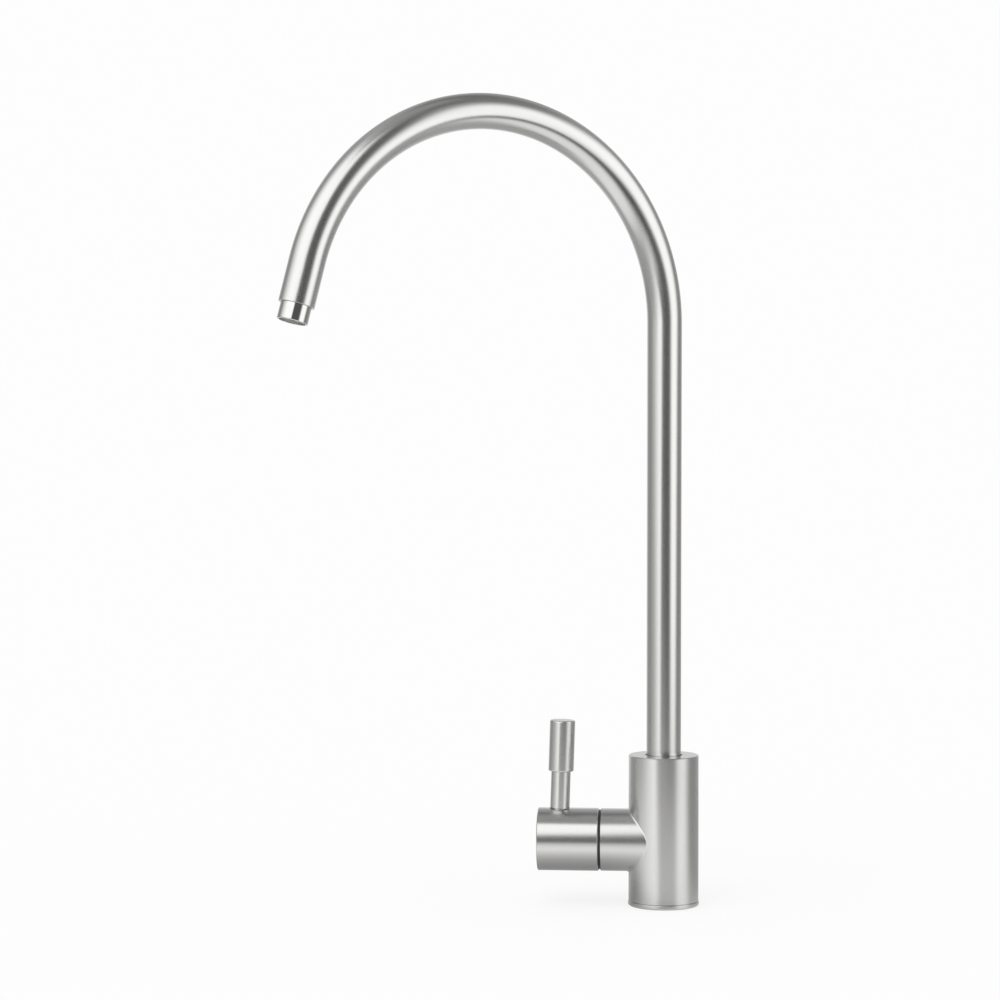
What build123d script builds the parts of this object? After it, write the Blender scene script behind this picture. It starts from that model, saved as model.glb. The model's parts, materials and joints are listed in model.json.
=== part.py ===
from build123d import *
import math
import os

# Drinking water filter tap: a deck-mounted body with a side valve, an upright lever
# and a swivelling gooseneck spout. Millimetres, +Z up. The origin is the centre of the
# foot, where the inlet thread meets the worktop. The valve branch points along -X and
# the user stands on the -Y side.

# Fits that several pieces share.
running_gap = 0.05
seat_gap = 0.1
thread_gap = 0.06
oring_gap = 0.03
free_gap = 0.4
overrun = 2.0

# Spout tube.
tube_d = 14.0
tube_wall = 1.0
bend_start_h = 236.0
bend_radius = 81.6
bend_angle = 164.5
tip_len = 17.3
spout_angle = 34.5

# Tap body.
body_d = 28.4
body_rim_chamfer = 0.35
body_foot_chamfer = 0.2
branch_d = 25.3
branch_edge_chamfer = 0.25
branch_root_fillet = 0.8

# Foot ring, its gasket and the inlet thread of an M12 shank.
base_ring_overhang_w = 0.2
base_ring_h = 1.9
base_ring_edge_radius = 0.8
base_ring_top_chamfer = 0.2
base_ring_land_w = 0.5
foot_ledge_w = 3.2
gasket_w = 1.4
gasket_h = 1.3
inlet_thread_d = 10.9
inlet_thread_depth = 16.0
riser_d = 7.0
riser_dome_h = 0.8

# Valve chamber in the branch, measured outwards from the body's axis.
inlet_web_t = 1.6
valve_thread_d = 17.6
valve_chamber_d = 15.6
valve_port_d = 6.0
valve_port_len = 8.0
disc_d = 11.9
seal_t = 1.4
seal_bore_d = 6.6
fixed_disc_t = 2.2
moving_disc_t = 2.2
disc_face_gap = 0.04
disc_hole_inner_d = 3.0
disc_hole_outer_d = 9.4
disc_hole_sweep = 70.0
disc_ear_w = 2.4
disc_ear_h = 0.8
drive_slot_w = 2.2
drive_slot_depth = 1.0
drive_flange_t = 1.8
thrust_washer_t = 0.6
oring_land_len = 3.0
thread_len = 6.2
nose_wall = 1.1
nose_setback_gap = 0.6
window_len = 4.0
window_sweep = 80.0
hex_af = 17.0
hex_len = 4.8
hex_chamfer = 0.5

# Spindle and its clip.
spindle_d = 8.0
spline_teeth = 20
spline_tip_d = 8.0
spline_depth = 0.45
spline_len = 12.2
clip_t = 0.8
clip_d = 11.0
clip_groove_depth = 0.8
clip_opening_w = 4.4

# Seal rings of round cord.
oring_cord_d = 1.6
oring_groove_gap = 0.3
spindle_cord_d = 1.2

# Channel from the valve chamber up to the spout chamber.
return_port_d = 3.5
return_port_angle = 45.0
spout_floor_t = 3.8
spout_chamber_depth = 3.4
spout_chamber_d = 12.5

# Spout foot, stacked upwards from its seat.
foot_lead_len = 1.2
foot_land_len = 1.3
lock_groove_w = 3.4
lock_groove_depth = 1.4
foot_top_land_len = 1.0
foot_spigot_wall = 1.67
foot_spigot_len = 8.0
foot_spigot_gap = 0.03
slide_ring_h = 6.9
slide_ring_wall = 0.5
slide_ring_drop_h = 0.5
slide_ring_slit_w = 0.8

# Socket head set screws.
lock_screw_d = 4.0
lock_tip_d = 2.6
lock_tip_len = 2.2
lock_bite_depth = 0.9
lock_sunk_depth = 0.3
hub_screw_d = 4.0
hub_screw_tip_d = 2.6
hub_screw_tip_len = 1.0
hub_screw_inset_len = 10.71
hub_screw_sunk_depth = 0.3
key_af = 2.0
key_depth = 2.2

# Handle hub and the ring in the seam beside it.
hub_d = 25.5
hub_len = 24.8
hub_edge_chamfer = 0.3
seam_gap = 0.8
glide_ring_rim_w = 0.35
hex_cavity_gap = 0.5
cavity_extra_len = 0.8
spline_gap = 0.04
socket_extra_len = 0.5

# Lever.
lever_inset_len = 8.85
lever_lean = 1.8
lever_rise_h = 15.1
stem_d = 7.9
stem_seat_depth = 1.0
stem_thread_d = 5.0
stem_thread_len = 5.4
grip_d = 10.3
grip_len = 20.8
grip_bore_depth = 15.0
grip_edge_chamfer = 0.45
stem_in_grip_len = 13.5

# Outlet sleeve and the flow straightener it holds.
outlet_sleeve_len = 6.6
outlet_tail_len = 9.0
outlet_gap = 0.02
outlet_wall = 0.85
outlet_edge_radius = 0.35
outlet_pocket_depth = 6.2
outlet_step_w = 0.8
washer_t = 1.0
washer_w = 1.1
screen_t = 0.4
screen_hole_d = 0.9
straightener_t = 3.0
channel_af = 1.15
channel_step_w = 1.35
insert_rim_w = 0.3

# Radii and heights that follow from the sizes above.
tube_r = tube_d / 2
tube_bore_r = tube_r - tube_wall
body_r = body_d / 2
body_spigot_r = body_r - foot_ledge_w
gasket_inner_r = body_spigot_r + base_ring_land_w + 2 * seat_gap
branch_r = branch_d / 2
valve_thread_r = valve_thread_d / 2
valve_chamber_r = valve_chamber_d / 2
disc_r = disc_d / 2
valve_h = inlet_thread_depth + inlet_web_t + valve_thread_r
nose_bore_r = disc_r + running_gap
nose_r = nose_bore_r + nose_wall
foot_spigot_r = tube_bore_r - foot_spigot_gap
foot_bore_r = foot_spigot_r - foot_spigot_wall
outlet_tail_r = tube_bore_r - outlet_gap
pocket_r = outlet_tail_r - outlet_wall
insert_r = pocket_r - seat_gap / 2

# Places along the branch, outwards from the body's axis.
fixed_disc_out = valve_port_len + seal_t
moving_disc_out = fixed_disc_out + fixed_disc_t + disc_face_gap
flange_out = moving_disc_out + moving_disc_t
thrust_out = flange_out + drive_flange_t + running_gap
land_out = thrust_out + thrust_washer_t
thread_out = land_out + oring_land_len
branch_out = thread_out + thread_len
hub_out = branch_out + seam_gap
hub_end = hub_out + hub_len
hex_end = branch_out + hex_len
clip_out = hex_end + seat_gap
cavity_end = clip_out + clip_t + cavity_extra_len
spindle_end = cavity_end + spline_len
lever_out = hub_end - lever_inset_len
hub_screw_out = hub_out + hub_screw_inset_len

# Places up the body.
spout_floor_h = valve_h + valve_chamber_r + spout_floor_t
spout_seat_h = spout_floor_h + spout_chamber_depth
foot_h = spout_seat_h + seat_gap
groove_w = oring_cord_d + oring_groove_gap
lower_groove_h = foot_h + foot_lead_len
lock_groove_h = lower_groove_h + groove_w + foot_land_len
upper_groove_h = lock_groove_h + lock_groove_w + foot_land_len
tube_foot_h = upper_groove_h + groove_w + foot_top_land_len
slide_ring_foot_h = tube_foot_h + free_gap
slide_ring_top_h = slide_ring_foot_h + slide_ring_h
body_h = slide_ring_top_h + slide_ring_drop_h
spout_bore_r = tube_r + running_gap
slide_ring_r = spout_bore_r + slide_ring_wall
lock_screw_h = lock_groove_h + lock_groove_w / 2

# Place of the outlet pocket's floor, outwards from the tube's end.
pocket_floor = outlet_sleeve_len - outlet_pocket_depth

# Directions and frames that several pieces share. The branch frame has its own Z
# outwards along the branch and its own X upwards.
branch_frame = Plane(origin=(0, 0, valve_h), x_dir=(0, 0, 1), z_dir=(-1, 0, 0))
lean_rad = math.radians(lever_lean)
lever_crown = (-lever_out, 0, valve_h + hub_d / 2)
lever_frame = Plane(
    origin=lever_crown,
    x_dir=(math.cos(lean_rad), 0, -math.sin(lean_rad)),
    z_dir=(math.sin(lean_rad), 0, math.cos(lean_rad)),
)
spout_turn = Rotation(0, 0, 180 + spout_angle)


def turned(outline):
    """Solid of revolution about Z through (radius, height) points."""
    points = [(radius, 0, height) for radius, height in outline]
    return revolve(make_face(Polyline(*points, close=True)), Axis.Z)


def quarter_round(start, corner, end):
    """Quarter circle that rounds a square corner of a (radius, height) outline."""
    centre = (start[0] + end[0] - corner[0], start[1] + end[1] - corner[1])
    middle = [centre[i] + (corner[i] - centre[i]) * math.sqrt(1 / 2) for i in (0, 1)]
    places = [(radius, 0, height) for radius, height in (start, middle, end)]
    return ThreePointArc(*places)


def rod(radius, low, high):
    """Round bar about Z between two heights."""
    return Pos(0, 0, low) * Cylinder(radius, high - low, align=(Align.CENTER, Align.CENTER, Align.MIN))


def ring(outer, inner, low, high):
    """Plain ring about Z between two heights."""
    return turned([(inner, low), (outer, low), (outer, high), (inner, high)])


def block(width_x, width_y, low, high):
    """Rectangular bar centred on Z between two heights."""
    centred = (Align.CENTER, Align.CENTER, Align.MIN)
    return Pos(0, 0, low) * Box(width_x, width_y, high - low, align=centred)


def cord_ring(outer, cord, height):
    """Ring of round cord whose largest radius is outer."""
    return Pos(0, 0, height) * Torus(outer - cord / 2, cord / 2)


def sector(outer, inner, sweep, low, high):
    """Part of a ring, centred on the X axis, that sweeps an angle in degrees."""
    half = math.radians(sweep / 2)
    inner_start = (inner * math.cos(half), -inner * math.sin(half))
    inner_end = (inner * math.cos(half), inner * math.sin(half))
    outer_start = (outer * math.cos(half), -outer * math.sin(half))
    outer_end = (outer * math.cos(half), outer * math.sin(half))
    edges = [
        Line(inner_start, outer_start),
        ThreePointArc(outer_start, (outer, 0), outer_end),
        Line(outer_end, inner_end),
        ThreePointArc(inner_end, (inner, 0), inner_start),
    ]
    return Pos(0, 0, low) * extrude(make_face(edges), high - low)


def six_sided(across_flats, low, high):
    """Hexagonal bar about Z between two heights."""
    outline = RegularPolygon(across_flats / 2, 6, major_radius=False)
    return Pos(0, 0, low) * extrude(outline, high - low)


def splined(tip_radius, low, high):
    """Bar with fine straight splines about Z between two heights."""
    root_radius = tip_radius - spline_depth
    half_pitch = math.pi / spline_teeth
    points = []
    for tooth in range(spline_teeth):
        angle = 2 * tooth * half_pitch
        points.append((tip_radius * math.cos(angle), tip_radius * math.sin(angle)))
        angle += half_pitch
        points.append((root_radius * math.cos(angle), root_radius * math.sin(angle)))
    return Pos(0, 0, low) * extrude(make_face(Polyline(*points, close=True)), high - low)


def set_screw(radius, tip_radius, tip_len, length):
    """Set screw about Z with its tip at zero height and its key socket on top."""
    shank_foot = tip_len + (radius - tip_radius)
    screw = turned(
        [
            (0, 0),
            (tip_radius, 0),
            (tip_radius, tip_len),
            (radius, shank_foot),
            (radius, length),
            (0, length),
        ]
    )
    return screw - six_sided(key_af, length - key_depth, length + overrun)


def save(piece, name):
    """Write one piece to its own file."""
    export_step(piece, "parts/" + name + ".step")


# Foot.
def make_base_ring():
    """Ring under the body, with the gasket's groove in its underside."""
    outer = body_r + base_ring_overhang_w
    inner = body_spigot_r + seat_gap
    flat_r = outer - base_ring_edge_radius
    top_r = outer - base_ring_top_chamfer
    shoulder_h = base_ring_h - base_ring_top_chamfer
    section = make_face(
        [
            Line((inner, 0, 0), (flat_r, 0, 0)),
            quarter_round((flat_r, 0), (outer, 0), (outer, base_ring_edge_radius)),
            Line((outer, 0, base_ring_edge_radius), (outer, 0, shoulder_h)),
            Line((outer, 0, shoulder_h), (top_r, 0, base_ring_h)),
            Line((top_r, 0, base_ring_h), (inner, 0, base_ring_h)),
            Line((inner, 0, base_ring_h), (inner, 0, 0)),
        ]
    )
    groove_outer = gasket_inner_r + gasket_w + seat_gap
    groove = ring(groove_outer, gasket_inner_r - seat_gap, -overrun, gasket_h)
    return revolve(section, Axis.Z) - groove


def make_base_gasket():
    """Flat rubber ring that seals the foot to the worktop, pressed flush."""
    return ring(gasket_inner_r + gasket_w, gasket_inner_r, 0, gasket_h)


# Body.
def valve_bore():
    """Stepped bore for the valve, in the branch frame."""
    chamber = rod(valve_chamber_r, valve_port_len, thread_out + overrun)
    thread = rod(valve_thread_r, thread_out, branch_out + overrun)
    port = rod(valve_port_d / 2, 0, valve_port_len + overrun)
    return chamber + thread + port


def return_port():
    """Slanted channel from the valve chamber up to the chamber under the spout."""
    slope = math.radians(return_port_angle)
    mouth_h = spout_floor_h + spout_chamber_depth / 2
    start_h = valve_h + valve_chamber_r / 2
    run = (mouth_h - start_h) / math.sin(slope)
    length = run + return_port_d / 2
    start = (-spout_chamber_d / 2 - run * math.cos(slope), 0, start_h)
    frame = Plane(origin=start, z_dir=(math.cos(slope), 0, math.sin(slope)))
    return frame * rod(return_port_d / 2, 0, length)


def lock_screw_frame():
    """Frame at the body's rear face, with its own Z pointing away from the axis."""
    return Plane(origin=(0, 0, lock_screw_h), z_dir=(0, 1, 0))


def make_tap_body():
    """Upright body and valve branch in one piece, with all its bores."""
    upright = turned(
        [
            (0, base_ring_h),
            (body_r - body_foot_chamfer, base_ring_h),
            (body_r, base_ring_h + body_foot_chamfer),
            (body_r, body_h - body_rim_chamfer),
            (body_r - body_rim_chamfer, body_h),
            (0, body_h),
        ]
    )
    branch = turned(
        [
            (0, 0),
            (branch_r, 0),
            (branch_r, branch_out - branch_edge_chamfer),
            (branch_r - branch_edge_chamfer, branch_out),
            (0, branch_out),
        ]
    )
    joined = upright + branch_frame * branch
    root_edges = [edge for edge in joined.edges() if is_branch_root(edge)]
    joined = fillet(root_edges, branch_root_fillet)
    joined += rod(body_spigot_r, 0, base_ring_h + overrun)
    joined -= rod(inlet_thread_d / 2, -overrun, inlet_thread_depth)
    riser_top = valve_h + valve_port_d / 2 + riser_dome_h
    joined -= rod(riser_d / 2, inlet_thread_depth - overrun, riser_top)
    joined -= branch_frame * valve_bore()
    joined -= rod(spout_chamber_d / 2, spout_floor_h, spout_seat_h + overrun)
    joined -= rod(spout_bore_r, spout_seat_h, body_h + overrun)
    joined -= rod(slide_ring_r, slide_ring_foot_h, body_h + overrun)
    joined -= return_port()
    screw_hole = rod(lock_screw_d / 2, 0, body_r + overrun)
    return joined - lock_screw_frame() * screw_hole


def is_branch_root(edge):
    """True for the curved edges where the branch grows out of the upright body."""
    middle = edge.position_at(0.5)
    on_body = abs(math.hypot(middle.X, middle.Y) - body_r) < running_gap
    on_branch = abs(math.hypot(middle.Y, middle.Z - valve_h) - branch_r) < running_gap
    return on_body and on_branch


# Valve.
def make_cartridge_seal():
    """Rubber washer between the inlet port and the fixed disc."""
    return branch_frame * ring(disc_r, seal_bore_d / 2, valve_port_len, fixed_disc_out)


def disc_holes(low, high, turn):
    """The two opposite water holes of a ceramic disc."""
    hole = sector(disc_hole_outer_d / 2, disc_hole_inner_d / 2, disc_hole_sweep, low, high)
    return Rotation(0, 0, turn) * hole + Rotation(0, 0, turn + 180) * hole


def make_fixed_disc():
    """Ceramic disc that stays still, with two ears that key it to the cartridge."""
    face_out = fixed_disc_out + fixed_disc_t
    disc = rod(disc_r, fixed_disc_out, face_out)
    disc += block(2 * (disc_r + disc_ear_h), disc_ear_w, fixed_disc_out, face_out)
    disc -= disc_holes(fixed_disc_out - overrun, moving_disc_out, 90)
    return branch_frame * disc


def make_moving_disc():
    """Ceramic disc that turns a quarter turn, with a slot for the spindle's key."""
    disc = rod(disc_r, moving_disc_out, flange_out)
    disc -= disc_holes(moving_disc_out - overrun, flange_out + overrun, 0)
    slot = block(drive_slot_w, disc_d + overrun, flange_out - drive_slot_depth, flange_out + overrun)
    return branch_frame * (disc - slot)


def make_cartridge_body():
    """Brass headpart: slotted nose with side windows, seal land, thread and hexagon."""
    thread_r = valve_thread_r - thread_gap
    land_r = valve_chamber_r - 2 * running_gap
    neck_bore_r = spindle_d / 2 + running_gap
    shell = turned(
        [
            (nose_bore_r, valve_port_len + nose_setback_gap),
            (nose_r, valve_port_len + nose_setback_gap),
            (nose_r, land_out),
            (land_r, land_out),
            (land_r, thread_out),
            (thread_r, thread_out),
            (thread_r, branch_out),
            (neck_bore_r, branch_out),
            (neck_bore_r, land_out),
            (nose_bore_r, land_out),
        ]
    )
    corner_r = hex_af / 2 / math.cos(math.pi / 6)
    hexagon = six_sided(hex_af, branch_out, hex_end)
    rounding = turned(
        [
            (0, branch_out),
            (corner_r, branch_out),
            (corner_r, hex_end - hex_chamfer),
            (hex_af / 2 - hex_chamfer, hex_end),
            (0, hex_end),
        ]
    )
    shell += (hexagon & rounding) - rod(neck_bore_r, branch_out - overrun, hex_end + overrun)
    groove_low = land_out + (oring_land_len - groove_w) / 2
    shell -= ring(
        land_r + overrun,
        valve_chamber_r - oring_gap - oring_cord_d - oring_gap,
        groove_low,
        groove_low + groove_w,
    )
    ear_slot = block(
        2 * (nose_r + overrun),
        disc_ear_w + 2 * seat_gap,
        valve_port_len,
        fixed_disc_out + fixed_disc_t,
    )
    shell -= ear_slot
    window_low = moving_disc_out
    window_high = min(window_low + window_len, land_out - thrust_washer_t)
    window = sector(nose_r + overrun, nose_bore_r - running_gap, window_sweep, window_low, window_high)
    for turn in (90, 270):
        shell -= Rotation(0, 0, turn) * window
    return branch_frame * shell


def make_cartridge_oring():
    """Seal ring between the cartridge and the wall of the valve chamber."""
    return branch_frame * cord_ring(
        valve_chamber_r - oring_gap, oring_cord_d, land_out + oring_land_len / 2
    )


def make_thrust_washer():
    """Slippery washer behind the spindle's drive flange."""
    return branch_frame * ring(disc_r, spindle_d / 2 + running_gap, thrust_out, land_out)


def spindle_groove_out():
    """Middle of the spindle's seal groove, outwards from the body's axis."""
    return (thread_out + branch_out) / 2


def make_spindle():
    """Brass spindle: key, drive flange, sealed shank, clip groove and splines."""
    shank_r = spindle_d / 2
    spindle = rod(disc_r, flange_out, flange_out + drive_flange_t)
    spindle += rod(shank_r, flange_out, cavity_end)
    key_w = drive_slot_w - 2 * running_gap
    key_len = disc_hole_outer_d
    spindle += block(key_w, key_len, flange_out - drive_slot_depth + seat_gap, flange_out)
    spindle += splined(spline_tip_d / 2, cavity_end, spindle_end)
    seal_w = spindle_cord_d + oring_groove_gap
    seal_low = spindle_groove_out() - seal_w / 2
    seal_root = shank_r + running_gap - oring_gap - spindle_cord_d - oring_gap
    spindle -= ring(shank_r + overrun, seal_root, seal_low, seal_low + seal_w)
    clip_root = shank_r - clip_groove_depth
    clip_high = clip_out + clip_t + running_gap
    spindle -= ring(shank_r + overrun, clip_root, clip_out - running_gap, clip_high)
    notch = sector(
        disc_r + overrun,
        disc_hole_inner_d / 2,
        disc_hole_sweep,
        flange_out - overrun,
        flange_out + drive_flange_t,
    )
    for turn in (0, 180):
        spindle -= Rotation(0, 0, turn) * notch
    return branch_frame * spindle


def make_spindle_oring():
    """Seal ring on the spindle, inside the cartridge's neck."""
    outer = spindle_d / 2 + running_gap - oring_gap
    return branch_frame * cord_ring(outer, spindle_cord_d, spindle_groove_out())


def make_spindle_clip():
    """Spring clip that keeps the spindle from sliding inwards."""
    inner = spindle_d / 2 - clip_groove_depth + seat_gap
    clip = ring(clip_d / 2, inner, clip_out, clip_out + clip_t)
    opening = block(clip_d, clip_opening_w, clip_out - overrun, clip_out + clip_t + overrun)
    return branch_frame * (clip - Pos(clip_d / 2, 0, 0) * opening)


# Handle.
def make_hub_glide_ring():
    """Plastic ring that fills the seam between the branch and the hub."""
    corner_r = hex_af / 2 / math.cos(math.pi / 6)
    outer = branch_r - branch_edge_chamfer - glide_ring_rim_w
    return branch_frame * ring(outer, corner_r + seat_gap, branch_out, hub_out - seat_gap)


def make_handle_hub():
    """Turned hub with a cavity over the hexagon and a splined socket."""
    hub_r = hub_d / 2
    hub = turned(
        [
            (0, hub_out),
            (hub_r - hub_edge_chamfer, hub_out),
            (hub_r, hub_out + hub_edge_chamfer),
            (hub_r, hub_end - hub_edge_chamfer),
            (hub_r - hub_edge_chamfer, hub_end),
            (0, hub_end),
        ]
    )
    corner_r = hex_af / 2 / math.cos(math.pi / 6)
    hub -= rod(corner_r + hex_cavity_gap, hub_out - overrun, cavity_end)
    hub -= splined(spline_tip_d / 2 + spline_gap, cavity_end - overrun, spindle_end + socket_extra_len)
    hub = branch_frame * hub
    hub -= lever_frame * rod(stem_d / 2 + seat_gap, -stem_seat_depth, overrun)
    thread_foot = -stem_seat_depth - stem_thread_len - seat_gap
    hub -= lever_frame * rod(stem_thread_d / 2 + thread_gap, thread_foot, overrun)
    return hub - hub_screw_frame() * rod(hub_screw_d / 2, 0, hub_r + overrun)


def hub_screw_frame():
    """Frame on the hub's axis, with its own Z pointing down."""
    return Plane(origin=(-hub_screw_out, 0, valve_h), z_dir=(0, 0, -1))


def make_hub_grub_screw():
    """Set screw in the hub's underside that grips the spindle."""
    tip = spline_tip_d / 2 + seat_gap
    length = hub_d / 2 - hub_screw_sunk_depth - tip
    radius = hub_screw_d / 2 - thread_gap
    screw = set_screw(radius, hub_screw_tip_d / 2, hub_screw_tip_len, length)
    return hub_screw_frame() * Pos(0, 0, tip) * screw


def make_lever_stem():
    """Lever bar: thread into the hub, bare neck and the end inside the grip."""
    stem = rod(stem_d / 2, -stem_seat_depth, lever_rise_h + stem_in_grip_len)
    stem += rod(stem_thread_d / 2, -stem_seat_depth - stem_thread_len, 0)
    return lever_frame * stem


def make_lever_grip():
    """Thicker sleeve on the upper half of the lever, closed on top."""
    outer = grip_d / 2
    top = lever_rise_h + grip_len
    grip = turned(
        [
            (0, lever_rise_h),
            (outer - grip_edge_chamfer, lever_rise_h),
            (outer, lever_rise_h + grip_edge_chamfer),
            (outer, top - grip_edge_chamfer),
            (outer - grip_edge_chamfer, top),
            (0, top),
        ]
    )
    bore = rod(stem_d / 2 + running_gap, lever_rise_h - overrun, lever_rise_h + grip_bore_depth)
    return lever_frame * (grip - bore)


# Spout.
def spout_path():
    """Centre line of the tube, in the plane of X and Z before the spout is turned."""
    sweep = math.radians(bend_angle)
    rise = Line((0, 0, tube_foot_h), (0, 0, bend_start_h))
    middle = (
        bend_radius - bend_radius * math.cos(sweep / 2),
        0,
        bend_start_h + bend_radius * math.sin(sweep / 2),
    )
    bend_end = (
        bend_radius - bend_radius * math.cos(sweep),
        0,
        bend_start_h + bend_radius * math.sin(sweep),
    )
    bend = ThreePointArc((0, 0, bend_start_h), middle, bend_end)
    tip = (
        bend_end[0] + tip_len * math.sin(sweep),
        0,
        bend_end[2] + tip_len * math.cos(sweep),
    )
    return rise, bend, Line(bend_end, tip)


def outlet_frame():
    """Place of the tube's open end, with its own Z the way the water leaves."""
    sweep = math.radians(bend_angle)
    tip = spout_path()[2].position_at(1)
    mouth = Plane(origin=tip, x_dir=(0, 1, 0), z_dir=(math.sin(sweep), 0, math.cos(sweep)))
    return spout_turn * mouth.location


def make_spout_tube():
    """Gooseneck tube: a straight rise, one large bend and a short straight tip."""
    path = Wire(spout_path())
    section = Plane.XY.offset(tube_foot_h) * Circle(tube_r)
    bore = Plane.XY.offset(tube_foot_h) * Circle(tube_bore_r)
    return spout_turn * (sweep(section, path) - sweep(bore, path))


def make_spout_foot():
    """Turned end of the spout, with two seal grooves and the lock screw's groove."""
    seal_root = spout_bore_r - oring_gap - oring_cord_d - oring_gap
    lock_root = tube_r - lock_groove_depth
    outline = [(foot_bore_r, foot_h), (tube_r, foot_h)]
    grooves = [
        (seal_root, lower_groove_h, groove_w),
        (lock_root, lock_groove_h, lock_groove_w),
        (seal_root, upper_groove_h, groove_w),
    ]
    for root, low, width in grooves:
        outline += [(tube_r, low), (root, low), (root, low + width), (tube_r, low + width)]
    outline += [
        (tube_r, tube_foot_h),
        (foot_spigot_r, tube_foot_h),
        (foot_spigot_r, tube_foot_h + foot_spigot_len),
        (foot_bore_r, tube_foot_h + foot_spigot_len),
    ]
    return turned(outline)


def make_spout_oring(groove_foot_h):
    """Seal ring of the spout foot, in the groove that starts at a height."""
    return cord_ring(spout_bore_r - oring_gap, oring_cord_d, groove_foot_h + groove_w / 2)


def make_spout_slide_ring():
    """Split plastic bush that guides the tube at the mouth of the body."""
    bush = ring(slide_ring_r, spout_bore_r, slide_ring_foot_h, slide_ring_top_h)
    slit_place = Pos(0, slide_ring_r, 0)
    slit = slit_place * block(slide_ring_slit_w, slide_ring_r, slide_ring_foot_h - overrun, body_h)
    return bush - slit


def make_spout_lock_screw():
    """Set screw in the body's rear, whose tip runs in the spout foot's groove."""
    tip = tube_r - lock_bite_depth
    length = body_r - lock_sunk_depth - tip
    radius = lock_screw_d / 2 - thread_gap
    screw = set_screw(radius, lock_tip_d / 2, lock_tip_len, length)
    return lock_screw_frame() * Pos(0, 0, tip) * screw


# Outlet.
def make_outlet_sleeve():
    """Polished sleeve in the tube's end, with a pocket for the straightener."""
    outer = tube_bore_r
    tail = outlet_tail_r
    throat = pocket_r - outlet_step_w
    edges = [
        Line((throat, 0, -outlet_tail_len), (tail, 0, -outlet_tail_len)),
        Line((tail, 0, -outlet_tail_len), (tail, 0, 0)),
        Line((tail, 0, 0), (outer, 0, 0)),
        Line((outer, 0, 0), (outer, 0, outlet_sleeve_len - outlet_edge_radius)),
        quarter_round(
            (outer, outlet_sleeve_len - outlet_edge_radius),
            (outer, outlet_sleeve_len),
            (outer - outlet_edge_radius, outlet_sleeve_len),
        ),
        Line((outer - outlet_edge_radius, 0, outlet_sleeve_len), (pocket_r, 0, outlet_sleeve_len)),
        Line((pocket_r, 0, outlet_sleeve_len), (pocket_r, 0, pocket_floor)),
        Line((pocket_r, 0, pocket_floor), (throat, 0, pocket_floor)),
        Line((throat, 0, pocket_floor), (throat, 0, -outlet_tail_len)),
    ]
    return outlet_frame() * revolve(make_face(edges), Axis.Z)


def make_straightener_washer():
    """Rubber washer on the pocket's floor."""
    washer = ring(insert_r, insert_r - washer_w, pocket_floor, pocket_floor + washer_t)
    return outlet_frame() * washer


def hex_places():
    """Centres of a honeycomb pattern, with as many rings as the rim leaves room for."""
    corner_r = channel_af / math.sqrt(3)
    rings = int((insert_r - insert_rim_w - corner_r) / channel_step_w)
    places = [(0, 0)]
    for ring_number in range(1, rings + 1):
        for side in range(6):
            start = math.radians(60 * side)
            along = math.radians(60 * side + 120)
            for step in range(ring_number):
                x = ring_number * math.cos(start) + step * math.cos(along)
                y = ring_number * math.sin(start) + step * math.sin(along)
                places.append((channel_step_w * x, channel_step_w * y))
    return places


def make_outlet_screen():
    """Thin perforated disc between the washer and the straightener."""
    low = pocket_floor + washer_t
    disc = rod(insert_r, low, low + screen_t)
    hole = rod(screen_hole_d / 2, low - overrun, low + screen_t + overrun)
    return outlet_frame() * (disc - [Pos(x, y, 0) * hole for x, y in hex_places()])


def make_flow_straightener():
    """Plastic honeycomb that calms the water, pressed into the pocket."""
    low = pocket_floor + washer_t + screen_t
    high = low + straightener_t
    disc = rod(insert_r, low, high)
    channel = Rotation(0, 0, 30) * six_sided(channel_af, low - overrun, high + overrun)
    return outlet_frame() * (disc - [Pos(x, y, 0) * channel for x, y in hex_places()])


pieces = {
    "base_ring": make_base_ring(),
    "base_gasket": make_base_gasket(),
    "tap_body": make_tap_body(),
    "spout_lock_screw": make_spout_lock_screw(),
    "spout_slide_ring": make_spout_slide_ring(),
    "cartridge_body": make_cartridge_body(),
    "cartridge_seal": make_cartridge_seal(),
    "cartridge_oring": make_cartridge_oring(),
    "fixed_disc": make_fixed_disc(),
    "thrust_washer": make_thrust_washer(),
    "hub_glide_ring": make_hub_glide_ring(),
    "moving_disc": make_moving_disc(),
    "spindle": make_spindle(),
    "spindle_oring": make_spindle_oring(),
    "spindle_clip": make_spindle_clip(),
    "handle_hub": make_handle_hub(),
    "hub_grub_screw": make_hub_grub_screw(),
    "lever_stem": make_lever_stem(),
    "lever_grip": make_lever_grip(),
    "spout_tube": make_spout_tube(),
    "spout_foot": make_spout_foot(),
    "spout_oring_lower": make_spout_oring(lower_groove_h),
    "spout_oring_upper": make_spout_oring(upper_groove_h),
    "outlet_sleeve": make_outlet_sleeve(),
    "straightener_washer": make_straightener_washer(),
    "outlet_screen": make_outlet_screen(),
    "flow_straightener": make_flow_straightener(),
}

os.makedirs("parts", exist_ok=True)
for name, piece in pieces.items():
    save(piece, name)
    solids = piece.solids()
    print(name, len(solids), round(sum(solid.volume for solid in solids)))
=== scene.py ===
"""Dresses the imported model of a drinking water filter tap.

Lengths are in metres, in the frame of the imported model: +Z up, the origin at the centre of
the foot, the valve branch along -X and the user on the -Y side.
"""

import json
import logging
import math
from collections.abc import Callable, Sequence
from dataclasses import dataclass, field
from enum import Enum
from typing import ClassVar

import bpy
from mathutils import Matrix, Vector

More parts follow.
